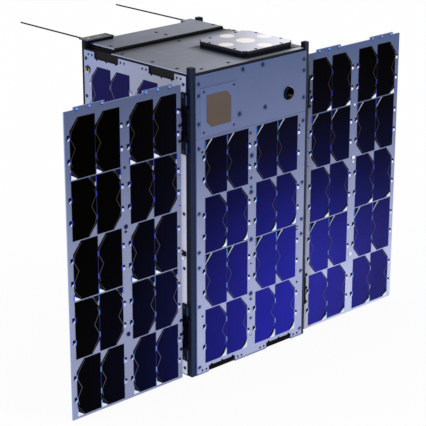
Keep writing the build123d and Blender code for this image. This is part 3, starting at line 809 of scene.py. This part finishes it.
def makeLine():
    # the head end stops at the strap beside a tile, the foot end follows the cell's slope
    inset, crop = lineLook["inset"], halfCell - cellGrid["cropUp"]
    across, down = lineLook["slopeStart"]
    straight = [(inset, crop - lineLook["belowSlope"]), (inset, lineLook["notchHalf"]),
                (lineLook["notchDepth"], 0.0)]
    run = [(inset + across, crop - down), *straight]
    run += [(x, -z) for x, z in reversed(straight[:-1])] + [(inset + across, down - crop)]
    across, up = lineLook["footEnd"]
    run.append((cellGrid["cropAcross"] + across, up - halfCell))
    clearSelection()
    bpy.ops.mesh.primitive_plane_add(size=lineLook["width"] * mm, rotation=(math.pi / 2, 0, 0))
    line = settle("conductorMaster")
    step = lineLook["width"] / 2
    movePoints(line, lambda co: co.z > 0, (run[0][0], 0, run[0][1] - step))
    pickPoints(line, lambda co: co.z < 0)  # the lower edge runs on from point to point
    bpy.ops.transform.translate(value=toMetres((run[1][0], 0, run[1][1] + step)))
    for here, there in zip(run[1:], run[2:]):
        bpy.ops.mesh.extrude_region_move(TRANSFORM_OT_translate={
            "value": toMetres((there[0] - here[0], 0, there[1] - here[1]))})
    bpy.ops.object.mode_set(mode="OBJECT")
    if sum(face.normal.y for face in line.data.polygons) > 0:
        line.data.flip_normals()  # it has to look out along -Y
    wall = line.modifiers.new("wall", "SOLIDIFY")
    wall.thickness = lineLook["thickness"] * mm
    wall.offset = 1
    bpy.ops.object.modifier_apply(modifier=wall.name)
    return line


conductor = Finish("conductor line", 0.03)
conductor.coat(conductor.byHeight(lineLook["shades"]), lineLook)
sideConductor = makeSmallFinish("side conductor line", lineLook["sideShade"], (0.36, 0.5), 0.03,
                                (300, 0.92, 1.06))
lineMaster = makeLine()
for face in faces:
    spots = []
    for left, head, side, atHead in cellsOf(face):
        spot = cellSpot(face, left, head, side, cellGrid["thickness"])
        spots.append(spot if atHead else spot @ mirrorUp)
    placeOnFace(face, lineMaster, spots, "_conductors",
                sideConductor if face in ("left", "right") else conductor)
print("conductor lines")

# Beside each corner tile: a tapered strap at a head corner, a dark band over the tile at a
# foot corner. Ends are (across from the cell's edge, down from its head).
strapLook = {"width": 1.5, "wingWidth": 1.2, "baseWidth": 2.2, "taper": 0.65, "thickness": 0.7,
             "baseThickness": 0.5, "bow": 0.45, "overrun": 0.6,
             "footFrom": 0.4, "bowWithin": 0.1,  # shares of the length, from its middle
             "bodyEnds": ((12.1, 0.4), (1.2, 12.3)), "wingEnds": ((13.0, 0.4), (2.0, 9.6)),
             "slopeEnds": ((12.4, 0.2), (0.2, 15.2)),
             "bandBelly": 3.6, "bandHalf": 9.8, "bandThickness": 0.62,
             "wedgeWidth": 9.0, "wedgeHeight": 23.0, "wedgeHead": 0.5,
             "endSize": (2.1, 0.8, 5.4), "endBelow": 11.0, "endIn": 1.0}


def layAlongSlope(piece, ends):
    # turns an upright piece to run between the two ends and trims it to the cell's corner
    (topAcross, topDown), (footAcross, footDown) = ends
    pickAll(piece)
    bpy.ops.transform.rotate(value=-math.atan2(topAcross - footAcross, footDown - topDown),
                             orient_axis="Y", center_override=(0, 0, 0))
    bpy.ops.object.mode_set(mode="OBJECT")
    if max(piece.data.vertices, key=lambda point: point.co.z).co.x < 0:
        for point in piece.data.vertices:  # it has to lean to the right at its head
            point.co.x = -point.co.x
        piece.data.flip_normals()
    piece.data.transform(Matrix.Translation(toMetres(
        ((topAcross + footAcross) / 2, 0, halfCell - (topDown + footDown) / 2))))
    cut(piece, (0, 0, halfCell - 0.1), (0, 0, 1), True)
    cut(piece, (0.1, 0, 0), (-1, 0, 0), True)


def makeStrap(name, ends, width, thickness):
    # narrower at its foot, with a slight bow at half length
    length = math.dist(ends[0], ends[1]) + strapLook["overrun"]
    strap = addBlock(name, (width, thickness, length))
    cut(strap, (0, 0, 0), (0, 0, 1))
    pickPoints(strap, lambda co: co.z < -length * strapLook["footFrom"] * mm)
    bpy.ops.transform.resize(value=(strapLook["taper"], 1, 1))
    bpy.ops.object.mode_set(mode="OBJECT")
    movePoints(strap, lambda co: abs(co.z) < length * strapLook["bowWithin"] * mm,
               (-strapLook["bow"], 0, 0))
    layAlongSlope(strap, ends)
    return soften(strap, 0.25, 1)


def makeBand():
    # a flat cut of a round, whose bow faces the tile's corner
    belly, half = strapLook["bandBelly"], strapLook["bandHalf"]
    radius = (half ** 2 + belly ** 2) / (2 * belly)
    band = addRound("bandMaster", radius, strapLook["bandThickness"], 64, radius - belly)
    cut(band, (0, 0, 0), (1, 0, 0), True)
    layAlongSlope(band, strapLook["slopeEnds"])
    return soften(band, 0.15, 1)


def makeWedge():
    # thin at the cell's foot, wide at the tile's outer side
    width, thick = strapLook["wedgeWidth"], strapLook["bandThickness"]
    wedge = addBlock("wedgeMaster", (width, thick, strapLook["wedgeHeight"]),
                     (-width / 2, -thick / 2, -1.0))
    movePoints(wedge, lambda co: co.z > 0 and co.x < -mm, (width - strapLook["wedgeHead"], 0, 0))
    layAlongSlope(wedge, strapLook["slopeEnds"])
    return soften(wedge, 0.15, 1)


strapMaster, wingStrap, thinStrap, strapBase = (
    makeStrap(name + "Master", *(strapLook[value] for value in values)) for name, *values in (
        ("strap", "bodyEnds", "width", "thickness"),
        ("wingStrap", "wingEnds", "wingWidth", "thickness"),
        ("thinStrap", "bodyEnds", "wingWidth", "thickness"),
        ("strapBase", "bodyEnds", "baseWidth", "baseThickness")))
strapEnd = soften(addBlock("strapEndMaster", strapLook["endSize"]), 0.35, 2)
bandMaster, wedgeMaster = makeBand(), makeWedge()
lightStrap = makeSmallFinish("light strap", (190, 195, 214), (0.25, 0.38), 0.1, (300, 0.9, 1.06))
greyStrap = makeSmallFinish("grey strap", (46, 49, 60), (0.3, 0.42), 0.03, (300, 0.9, 1.08))
darkBand = makeSmallFinish("dark band", (20, 21, 26), (0.3, 0.42), 0.03, (300, 0.8, 1.2))
wingBand = makeSmallFinish("wing band", (27, 28, 36), (0.3, 0.42), 0.03, (300, 0.85, 1.15))
paleEnd = makeSmallFinish("strap end", (158, 162, 204), (0.28, 0.4), 0.1, (300, 0.92, 1.06))
headStraps = {"leftWing": (wingStrap, greyStrap), "rightWing": (thinStrap, lightStrap)}
footBands = dict.fromkeys(wingMiddle, (wedgeMaster, wingBand))
for face in faces:
    straps, bands, ends = [], [], []
    for left, head, side, tileAtHead in cellsOf(face):
        spot = cellSpot(face, left, head, side, 0.0)
        if tileAtHead:
            straps.append(spot)
            inward = strapLook["endIn"] if side < 0 else cellWidth - strapLook["endIn"]
            ends.append(spotOn(face, left + inward, head - strapLook["endBelow"]))
        else:
            bands.append(spot @ mirrorUp)
    master, finish = headStraps.get(face, (strapMaster, lightStrap))
    placeOnFace(face, master, straps, "_head_straps", finish)
    master, finish = footBands.get(face, (bandMaster, darkBand))
    placeOnFace(face, master, bands, "_foot_bands", finish)
    if face == "leftWing":
        placeOnFace(face, strapBase, straps, "_strap_bases", darkBand)
        placeOnFace(face, strapEnd, ends, "_strap_ends", paleEnd)
print("straps and bands by the tiles")

# Clips that hold the cells, two at each cell's side, with a blue foot on the cell's edge. The
# clips carry a painted reflection, dark where they look up and white where they look down, and the
# feet a painted blue light.
clipLook = {"size": (4.0, 0.9, 7.4), "rim": 0.3, "ridges": (-1.0, 0.5), "slants": (0.8, -0.5),
            "rise": 15.5, "outward": 2.7, "footSize": (1.5, 0.85, 7.4), "footIn": 0.1,
            "black": (8, 8, 10), "white": (240, 243, 252), "wingWhite": (206, 210, 235),
            "flank": (12, 12, 18), "sideUpper": (128, 130, 140), "sideLower": (214, 216, 224),
            "stripSize": (0.9, 0.42, 79.15), "edgeSize": (1.5, 0.7, 9.5),
            "edgeOut": 0.35, "edgeBelow": 5.8, "edgeAbove": 5.2}


def makeClip(name, ridge, slant):
    # slopes either way from a slanting ridge
    width, depth, height = clipLook["size"]
    clip = addBlock(name, clipLook["size"])
    cut(clip, (0, 0, ridge), (-slant, 0, 1))
    front, tall = -depth * 0.9 * mm, height * 0.45 * mm
    movePoints(clip, lambda co: co.y < front and abs(co.z) > tall,
               (0, depth - clipLook["rim"], 0))
    return smooth(soften(clip, 0.18, 1), 12)  # the small angle keeps the ridge sharp


clipMasters = [makeClip("clipMaster" + side, ridge, slant) for side, ridge, slant in
               zip(("Left", "Right"), clipLook["ridges"], clipLook["slants"])]
footMaster = soften(addBlock("clipFootMaster", clipLook["footSize"]), 0.3, 2)
stripMaster = soften(addBlock("gapStripMaster", clipLook["stripSize"]), 0.12, 1)
edgeMaster = soften(addBlock("tileEdgeMaster", clipLook["edgeSize"]), 0.3, 2)
clipFinishes = {
    "front": makeTabFinish("polished clip", clipLook["black"], clipLook["white"], -0.05,
                           clipLook["flank"]),
    "leftWing": makeTabFinish("left wing clip", clipLook["black"], clipLook["wingWhite"], -0.05,
                              clipLook["flank"]),
    "left": makeTabFinish("side clip", clipLook["sideUpper"], clipLook["sideLower"], 0.02),
}
shareFinishes(clipFinishes)
bodyFinishes = makeBlueFinish("clip foot"), makeBlueFinish("tile edge")
wingFinishes = makeBlueFinish("wing clip foot"), makeBlueFinish("wing tile edge")
sideFinishes = makeBlueFinish("side clip foot"), bodyFinishes[1]
edgeFinishes = {"left": sideFinishes, "right": sideFinishes, "leftWing": wingFinishes,
                "rightWing": wingFinishes}
gapStrip = makeBlueFinish("gap strip")
pairGaps = [cellLefts[index] - cellGrid["pairGap"] / 2 for index in (1, 3)]
clipColumns = []  # (across for the clip, across for its foot)
for column, left in enumerate(cellLefts):
    edge, outward = (left + cellWidth, 1) if column % 2 else (left, -1)
    clipColumns.append((edge + outward * clipLook["outward"], edge - outward * clipLook["footIn"]))
for face in faces:
    clips, feet, strips, edges = ([], []), [], [], []
    for row in range(cellGrid["rows"][face]):
        middle = cellGrid["heads"][face] - row * cellGrid["pitch"] - halfCell
        strips += [spotOn(face, gap, middle) for gap in pairGaps]
        for height in (middle - clipLook["rise"], middle + clipLook["rise"]):
            for column, (across, foot) in enumerate(clipColumns):
                clips[column % 2].append(spotOn(face, across, height))
                feet.append(spotOn(face, foot, height))
            feet += [spotOn(face, gap, height) for gap in pairGaps]
    for left, head, side, atHead in cellsOf(face):
        out = clipLook["edgeOut"]
        height = head + (-clipLook["edgeBelow"] if atHead else
                         clipLook["edgeAbove"] - cellGrid["height"])
        edges.append(spotOn(face, left - out if side < 0 else left + cellWidth + out, height))
    footFinish, edgeFinish = edgeFinishes.get(face, bodyFinishes)
    for master, spots, side in zip(clipMasters, clips, ("left", "right")):
        placeOnFace(face, master, spots, "_clips_" + side, clipFinishes[face])
    placeOnFace(face, footMaster, feet, "_clip_feet", footFinish)
    placeOnFace(face, stripMaster, strips, "_gap_strips", gapStrip)
    placeOnFace(face, edgeMaster, edges, "_tile_edges", edgeFinish)
print("clips, gap strips and tile edges")

# Screws and rivets. Insets are (share of the radius, share of the head's height): the
# countersink's slope, then the key's recess. A row is what a face has at each side.
screwLook = {"radius": 3.0, "head": 0.9, "bigRadius": 3.7, "smallRadius": 2.4,
             "rivetRadius": 1.6, "deckRadius": 2.6, "shade": (30, 40, 66), "rim": 0.8,
             "glint": (88, 122, 190), "partShade": (30, 36, 62), "partRim": 0.6,
             "partGlint": (84, 124, 210),
             "insets": ((0.05, 0), (0.27, 0.75), (0.2, 0), (0.03, 0.12)),
             "rivetInset": (0.3, 0.6), "patches": ((500, 0.9, 1.08),),
             "rough": (400, 0.32, 0.46), "grain": (1500, 0.2, 0.00001),
             "frontEdge": 101, "sideEdge": 100.7, "panelHead": 427.0, "panelFoot": 6.8}


def makeScrew(name, radius, head, sides=20):
    screw = addRound(name, radius, head, sides)
    insetFront(screw, *((radius * inset, head * depth) for inset, depth in screwLook["insets"]))
    return smooth(screw, 20)


def makeRivet(name, radius, head, sides=14):
    rivet = addRound(name, radius, head, sides)
    inset, depth = screwLook["rivetInset"]
    insetFront(rivet, (radius * inset, head * depth))
    return smooth(rivet, 40)


def makeScrewFinish(name, shade, rim, glint):
    # slopes inside the countersink's upper right catch the light
    finish = Finish(name, 0.05)
    lit = finish.both(finish.within(finish.faceY, -0.97, -0.3), finish.both(
        finish.within(finish.faceX, -0.9, -0.18), finish.within(finish.faceZ, -0.9, 0.15)))
    ring = finish.times(finish.byHeight(panelLook["front"]), (rim, rim, rim, 1))
    base = finish.mix(finish.within(finish.faceY, -0.97, 0.97), shade, ring)
    base = finish.mix(lit, base, glint)
    return finish.coat(base, screwLook)


screw = makeScrew("screwMaster", screwLook["radius"], screwLook["head"])
bigScrew = makeScrew("bigScrewMaster", screwLook["bigRadius"], screwLook["head"])
smallScrew = makeScrew("smallScrewMaster", screwLook["smallRadius"], screwLook["head"] * 0.7, 16)
deckScrew = makeScrew("deckScrewMaster", screwLook["deckRadius"], 0.5)
sideHead = makeScrew("sideScrewMaster", 2.4, 0.8)
patchScrew = makeScrew("patchScrewMaster", 2.0, 0.6, 16)
arrayScrew = makeScrew("arrayScrewMaster", 2.1, 0.5, 16)
rivet = makeRivet("rivetMaster", screwLook["rivetRadius"], 0.35)
screwFinish = makeScrewFinish("panel screw", screwLook["shade"], screwLook["rim"],
                              screwLook["glint"])
partFinish = makeScrewFinish("small part", screwLook["partShade"], screwLook["partRim"],
                             screwLook["partGlint"])
sideScrew = makeSmallFinish("side screw", (42, 52, 88), (0.35, 0.5), 0.05)
darkScrew = makeSmallFinish("dark screw", (44, 45, 54), (0.35, 0.5), 0.04)
rivetFinish = makeSmallFinish("dark rivet", (26, 30, 48), (0.4, 0.55), 0.04)
goldFinish = makeSmallFinish("gold pad", (150, 132, 100), (0.3, 0.42), 0.3, metallic=0.3)
screwRows = {
    "front": (421.0, 405.0, 366.0, 332.0, 240.0, 184.0, 161.5, 104.0, 12.5),
    "leftFront": (420.5, 240.0, 161.0, 12.0),
    "sideRear": (420.5, 366.0, 332.0, 240.0, 184.0, 161.0, 104.0, 12.0),
}
bothSides, sideEdge = (-1, 1), screwLook["sideEdge"]
sideScrews = []
for face, side in (("left", 1), ("right", -1)):
    for row, edge in (("leftFront", side * sideEdge), ("sideRear", -side * sideEdge)):
        sideScrews += [spotOn(face, edge, height) for height in screwRows[row]]
placeOnBus("front_screws", screw, [spotOn("front", side * screwLook["frontEdge"], height)
                                   for side in bothSides for height in screwRows["front"]],
           screwFinish)
placeOnBus("front_large_screws", bigScrew,
           spotsOn("front", ((-19, 427.3), (19, 427.3), (-24.8, 365.8), (24.4, 366.2))),
           screwFinish)
placeOnBus("side_screws", sideHead, sideScrews, sideScrew)
placeOnBus("rear_screws", screw, [spotOn("rear", side * sideEdge, height)
                                  for side in bothSides for height in screwRows["sideRear"]],
           screwFinish)
placeOnBus("patch_screws", patchScrew, spotsOn("front", (
    (-92.6, 353.0), (-36.6, 353.2), (-92.4, 409.0), (-37.0, 409.4)), 1.0), screwFinish)

# Paired rivets beside every notch, and single ones near the cells
notchLook = {"middles": (-57.2, 57.2), "half": 25.75, "gaps": (5.0, 12.6)}
notchPairs = [middle + side * (notchLook["half"] + gap) for middle in notchLook["middles"]
              for side in bothSides for gap in notchLook["gaps"]]
rivets = [spotOn("front", across, screwLook["panelFoot"]) for across in notchPairs]
for face in ("left", "right", "rear"):
    rivets += [spotOn(face, across, screwLook["panelHead"]) for across in notchPairs]
rivets += spotsOn("front", ((-95.0, 326.2), (-95.0, 88.5), (93.6, 326.2), (93.6, 88.5)))
placeOnBus("notch_rivets", rivet, rivets, rivetFinish)

# Deck, housing and array screws, which face up
deckSpots = spotsOnTop(((-103.2, 36.1), (-102.6, -25.4), (-103.4, -75.6), (-81.6, -99.7),
                        (-31.2, -98.7), (6.4, 40.3), (110.8, 36.6)), 435.3)
deckSpots += spotsOnTop(((-97.4, 68.0), (5.3, 88.0), (5.5, 67.6), (99.8, 68.6)), 440.2)
placeOnBus("deck_screws", deckScrew, deckSpots, darkScrew)
placeOnBus("array_screws", arrayScrew, spotsOnTop((
    (23.6, -5.4), (73.4, -5.4), (2.9, -26.3), (2.9, -76.0), (94.1, -26.3), (94.1, -75.5),
    (23.6, -96.4), (73.4, -96.4)), 444.8), darkScrew)
print("screws and rivets")

# Small parts in the middle column of the front panel, and two at its right margin
placeOnBus("front_small_parts", smallScrew, spotsOn("front", (
    (-3.9, 334.7), (-1.9, 269.4), (-1.8, 256.2), (-1.1, 88.2), (-0.8, 58.8))), partFinish)
placeOnBus("front_round_parts", bigScrew, spotsOn("front", (
    (-1.0, 301.8), (-1.7, 248.8), (-1.2, 178.4), (-1.2, 96.6))), partFinish)
padMaster = soften(addBlock("goldPadMaster", (4.2, 0.3, 2.0)), 0.1, 1)
placeOnBus("gold_pads", padMaster, spotsOn("front", ((-0.7, 326.9), (0, 277.7), (-0.5, 32))),
           goldFinish)
chipMaster = soften(addBlock("chipMaster", (2.6, 0.7, 1.7)), 0.15, 1)
placeOnBus("front_chips", chipMaster,
           spotsOn("front", ((-1.4, 142.3), (91.8, 175.0), (91.6, 170.5))), rivetFinish)

# Wings: bumps on the tabs, screws by the hinges, dots by the edge and in the middle column
wingLook = {"bump": (2.3, 1.3), "dot": (1.9, 1.0), "bigDot": (3.1, 1.2), "stop": (2.4, 1.2),
            "bumpTop": (104, 150, 250), "bumpUnder": (30, 38, 66),
            "dotTop": (112, 172, 255), "dotUnder": (26, 34, 66),
            "navy": (28, 30, 82), "white": (244, 246, 252),
            "tabHeight": 422.9, "tabStep": 20.5, "edge": 95.3,
            "hingeRows": (388.8, 367.0, 345.7, 88.0, 67.0, 45.0),
            "dotRows": (300.0, 279.0, 257.0),
            "middleDots": ((-1.2, 330.0), (-1.2, 242.0)),
            "largeDots": ((-0.9, 249.0), (0.0, 96.2))}


def makeBump(name, radius, stand):
    clearSelection()
    bpy.ops.mesh.primitive_uv_sphere_add(segments=16, ring_count=10, radius=radius * mm)
    bump = settle(name)
    cut(bump, (0, 0, 0), (0, 1, 0), True)
    pickAll(bump)
    bpy.ops.transform.resize(value=(1, stand / radius, 1))
    bpy.ops.object.mode_set(mode="OBJECT")
    return smooth(bump, 50)


bump, dot, bigDot, stop = (makeBump(name + "Master", *wingLook[name])
                           for name in ("bump", "dot", "bigDot", "stop"))
# bumps and edge dots: painted light on faces that look up, painted shade on those that look down
bumpFinish = makeTabFinish("tab bump", wingLook["bumpTop"], wingLook["bumpUnder"], -0.25)
blueDot = makeTabFinish("blue dot", wingLook["dotTop"], wingLook["dotUnder"], 0.0)
navyDot = makeSmallFinish("navy dot", wingLook["navy"], (0.3, 0.42), 0.04)
# on the right wing's dots this white is a painted glint
whiteDot = makeSmallFinish("white dot", wingLook["white"], (0.25, 0.38), 0.4, (400, 0.96, 1.03))
tabBumps = [(middle + step * wingLook["tabStep"], wingLook["tabHeight"])
            for middle in notchLook["middles"] for step in (-1, 0, 1)]
for face, inner, dots in (("leftWing", 1, navyDot), ("rightWing", -1, whiteDot)):
    edge = inner * wingLook["edge"]
    placeOnFace(face, bump, spotsOn(face, tabBumps), "_tab_bumps", bumpFinish)
    placeOnFace(face, smallScrew, [spotOn(face, edge, z) for z in wingLook["hingeRows"]],
                "_hinge_screws", rivetFinish)
    placeOnFace(face, dot, [spotOn(face, edge, z) for z in wingLook["dotRows"]], "_edge_dots",
                blueDot)
    for master, places, ending in ((dot, "middleDots", "_middle_dots"),
                                   (bigDot, "largeDots", "_large_dots")):
        placeOnFace(face, master, [spotOn(face, x * inner, z) for x, z in wingLook[places]],
                    ending, dots)
print("wing details")

# Hinges: a ringed screw at each end of every body leaf, and two rivets in its pad
hingeLook = {"leafOut": 117.65, "leafY": -102.6, "endOffset": 38.3, "padY": -109.3,
             "padOffset": 12.9, "heights": (367.5, 67.0)}
ringFinish = makeSmallFinish("hinge screw", (44, 47, 58), (0.3, 0.42), 0.06, (400, 0.9, 1.08))
# the pad rivets are painted near black, as the shade in the pad's holes
padFinish = makeSmallFinish("pad rivet", (2, 2, 4), (0.4, 0.55), 0.02, (400, 0.9, 1.1))
padRivet = makeRivet("padRivetMaster", 2.3, 0.4, 16)


def hingeSpots(leaf, offset):
    return [spotOn(face, -side * hingeLook[leaf], height + end * hingeLook[offset],
                   hingeLook["leafOut"] - faceOut)
            for face, side in (("left", 1), ("right", -1))
            for height in hingeLook["heights"] for end in bothSides]


placeOnBus("hinge_end_screws", screw, hingeSpots("leafY", "endOffset"), ringFinish)
placeOnBus("hinge_pad_rivets", padRivet, hingeSpots("padY", "padOffset"), padFinish)

# Latch between the hinges on each side, with a gold pin and a white stop
latchLook = {"size": (8.6, 1.8, 8.0), "across": 100.3, "z": 183.6, "recess": (1.4, 0.7),
             "fall": 1.4, "pin": (1.3, 1.4, 16), "pinBack": 1.8, "pinUp": 1.4, "pinOut": 0.6,
             "stop": (98.6, 175.2)}


def makeLatch():
    latch = addBlock("latchMaster", latchLook["size"])
    insetFront(latch, latchLook["recess"])
    movePoints(latch, lambda co: co.z > latchLook["size"][2] * 0.45 * mm and co.x > 0,
               (0, 0, -latchLook["fall"]))  # sloping upper side
    return soften(latch, 0.25, 2)


across, height = latchLook["across"], latchLook["z"]
placeOnBus("wing_latches", makeLatch(), [spotOn("left", across, height),
                                         spotOn("right", -across, height) @ mirrorAcross],
           blackFitting)
across, height = across - latchLook["pinBack"], height + latchLook["pinUp"]
placeOnBus("latch_pins", makeRivet("latchPinMaster", *latchLook["pin"]),
           [spotOn("left", across, height, latchLook["pinOut"]),
            spotOn("right", -across, height, latchLook["pinOut"])], goldFinish)
across, height = latchLook["stop"]
placeOnBus("latch_stops", stop, [spotOn("left", across, height), spotOn("right", -across, height)],
           whiteDot)

# Ring round the side port, with a painted reflection: dark where it looks up, white where it looks
# down
ringLook = {"radius": 5.9, "depth": 0.5, "recess": (1.0, 0.15), "spot": (-97.0, 405.0),
            "upper": (28, 34, 54), "lower": (226, 230, 242)}
ring = addRound("portRingMaster", ringLook["radius"], ringLook["depth"], 28)
insetFront(ring, ringLook["recess"])
placeOnBus("side_port_ring", soften(ring, 0.15, 2), [spotOn("left", *ringLook["spot"])],
           makeTabFinish("port ring", ringLook["upper"], ringLook["lower"], -0.05))

# Corner board: a row of small parts, two white ones, and three dark ones at its right end
boardParts = {"size": (2.4, 0.5, 1.5), "shade": (78, 78, 76), "top": 445.3,
              "small": ((-108.5, 103.5), (-104.0, 110.0), (-98.7, 105.5), (-93.0, 113.0),
                        (-88.5, 104.0), (-84.8, 108.5), (-79.0, 102.6), (-74.5, 112.5)),
              "white": ((-103.8, 108.8), (-85.6, 108.7)),
              "dark": ((-67.2, 115.2), (-68.6, 107.6), (-66.6, 102.2))}
flatPart = soften(addBlock("boardPartMaster", boardParts["size"], (0, -0.05, 0)), 0.12, 1)
boardFinish = makeSmallFinish("board part", boardParts["shade"], (0.4, 0.55), 0.2,
                              (400, 0.85, 1.1))
for kind, master, sunk, finish in (("small", flatPart, 0.2, boardFinish),
                                   ("white", flatPart, 0.15, whiteDot),
                                   ("dark", rivet, 0.3, rivetFinish)):
    placeOnBus("board_" + kind + "_parts", master,
               spotsOnTop(boardParts[kind], boardParts["top"] - sunk), finish)
print("hinges, latches and board parts")

for piece in list(bpy.data.objects):
    if "Master" in piece.name:
        bpy.data.objects.remove(piece)

stageLook = {"worldLight": 0.74, "floor": (0.92, 0.92, 0.93, 1.0), "floorWhite": 0.93,
             "floorRoughness": 0.9, "floorSpecular": 0.1, "floorSize": 80, "softness": 28,
             "keys": (("left key", (-0.86, 0.22, 0.46), 0.75),
                      ("front key", (0.42, -0.78, 0.5), 0.75))}


def showWhite(tree, lit, white, end, amount):
    # white to the camera, to metal and to glass, by the amount; the lit shader elsewhere
    rays = tree.nodes.new("ShaderNodeLightPath").outputs
    seen = rays["Is Camera Ray"]
    for other in (rays["Is Glossy Ray"], rays["Is Transmission Ray"], None):
        step = tree.nodes.new("ShaderNodeMath")
        step.operation = "ADD" if other else "MULTIPLY"
        step.use_clamp = True
        tree.links.new(seen, step.inputs[0])
        if other:
            tree.links.new(other, step.inputs[1])
        else:
            step.inputs[1].default_value = amount
        seen = step.outputs[0]
    white.inputs["Strength"].default_value = 1.0
    both = tree.nodes.new("ShaderNodeMixShader")
    for source, socket in zip((seen, lit.outputs[0], white.outputs[0]), both.inputs):
        tree.links.new(source, socket)
    tree.links.new(both.outputs[0], tree.nodes[end].inputs["Surface"])


clearSelection()
bpy.ops.mesh.primitive_plane_add(size=stageLook["floorSize"], location=(0, 0, 0))
floor = bpy.context.object
floor.name = "floor"
paint = bpy.data.materials.new("floor")
paint.use_nodes = True
shader = paint.node_tree.nodes["Principled BSDF"]
shader.inputs["Base Color"].default_value = stageLook["floor"]
shader.inputs["Roughness"].default_value = stageLook["floorRoughness"]
shader.inputs["Specular IOR Level"].default_value = stageLook["floorSpecular"]
showWhite(paint.node_tree, shader, paint.node_tree.nodes.new("ShaderNodeEmission"),
          "Material Output", stageLook["floorWhite"])
floor.data.materials.append(paint)

world = bpy.data.worlds.new("studio")
bpy.context.scene.world = world
world.use_nodes = True
light = world.node_tree.nodes["Background"]
white = world.node_tree.nodes.new("ShaderNodeBackground")
light.inputs["Color"].default_value = white.inputs["Color"].default_value = (1, 1, 1, 1)
light.inputs["Strength"].default_value = stageLook["worldLight"]
showWhite(world.node_tree, light, white, "World Output", 1.0)

for name, direction, strength in stageLook["keys"]:
    lamp = bpy.data.lights.new(name, "SUN")
    lamp.energy = strength
    lamp.angle = math.radians(stageLook["softness"])
    holder = bpy.data.objects.new(name, lamp)
    holder.rotation_euler = Vector(direction).to_track_quat("Z", "Y").to_euler()
    bpy.context.scene.collection.objects.link(holder)

cameraLook = {"place": (-1.5136, -1.6287, 0.963), "azimuth": 43.545, "down": 19.212,
              "focal": 1621.2, "frame": 426, "sensor": 36.0}  # focal and frame in pixels
cameraData = bpy.data.cameras.new("camera")
cameraData.sensor_width = cameraLook["sensor"]
cameraData.lens = cameraLook["focal"] / cameraLook["frame"] * cameraLook["sensor"]
camera = bpy.data.objects.new("camera", cameraData)
camera.location = cameraLook["place"]
camera.rotation_euler = (math.radians(90 - cameraLook["down"]), 0,
                         math.radians(-cameraLook["azimuth"]))
bpy.context.scene.collection.objects.link(camera)
bpy.context.scene.camera = camera
bpy.context.scene.view_settings.view_transform = "Standard"
print("floor, light and camera")
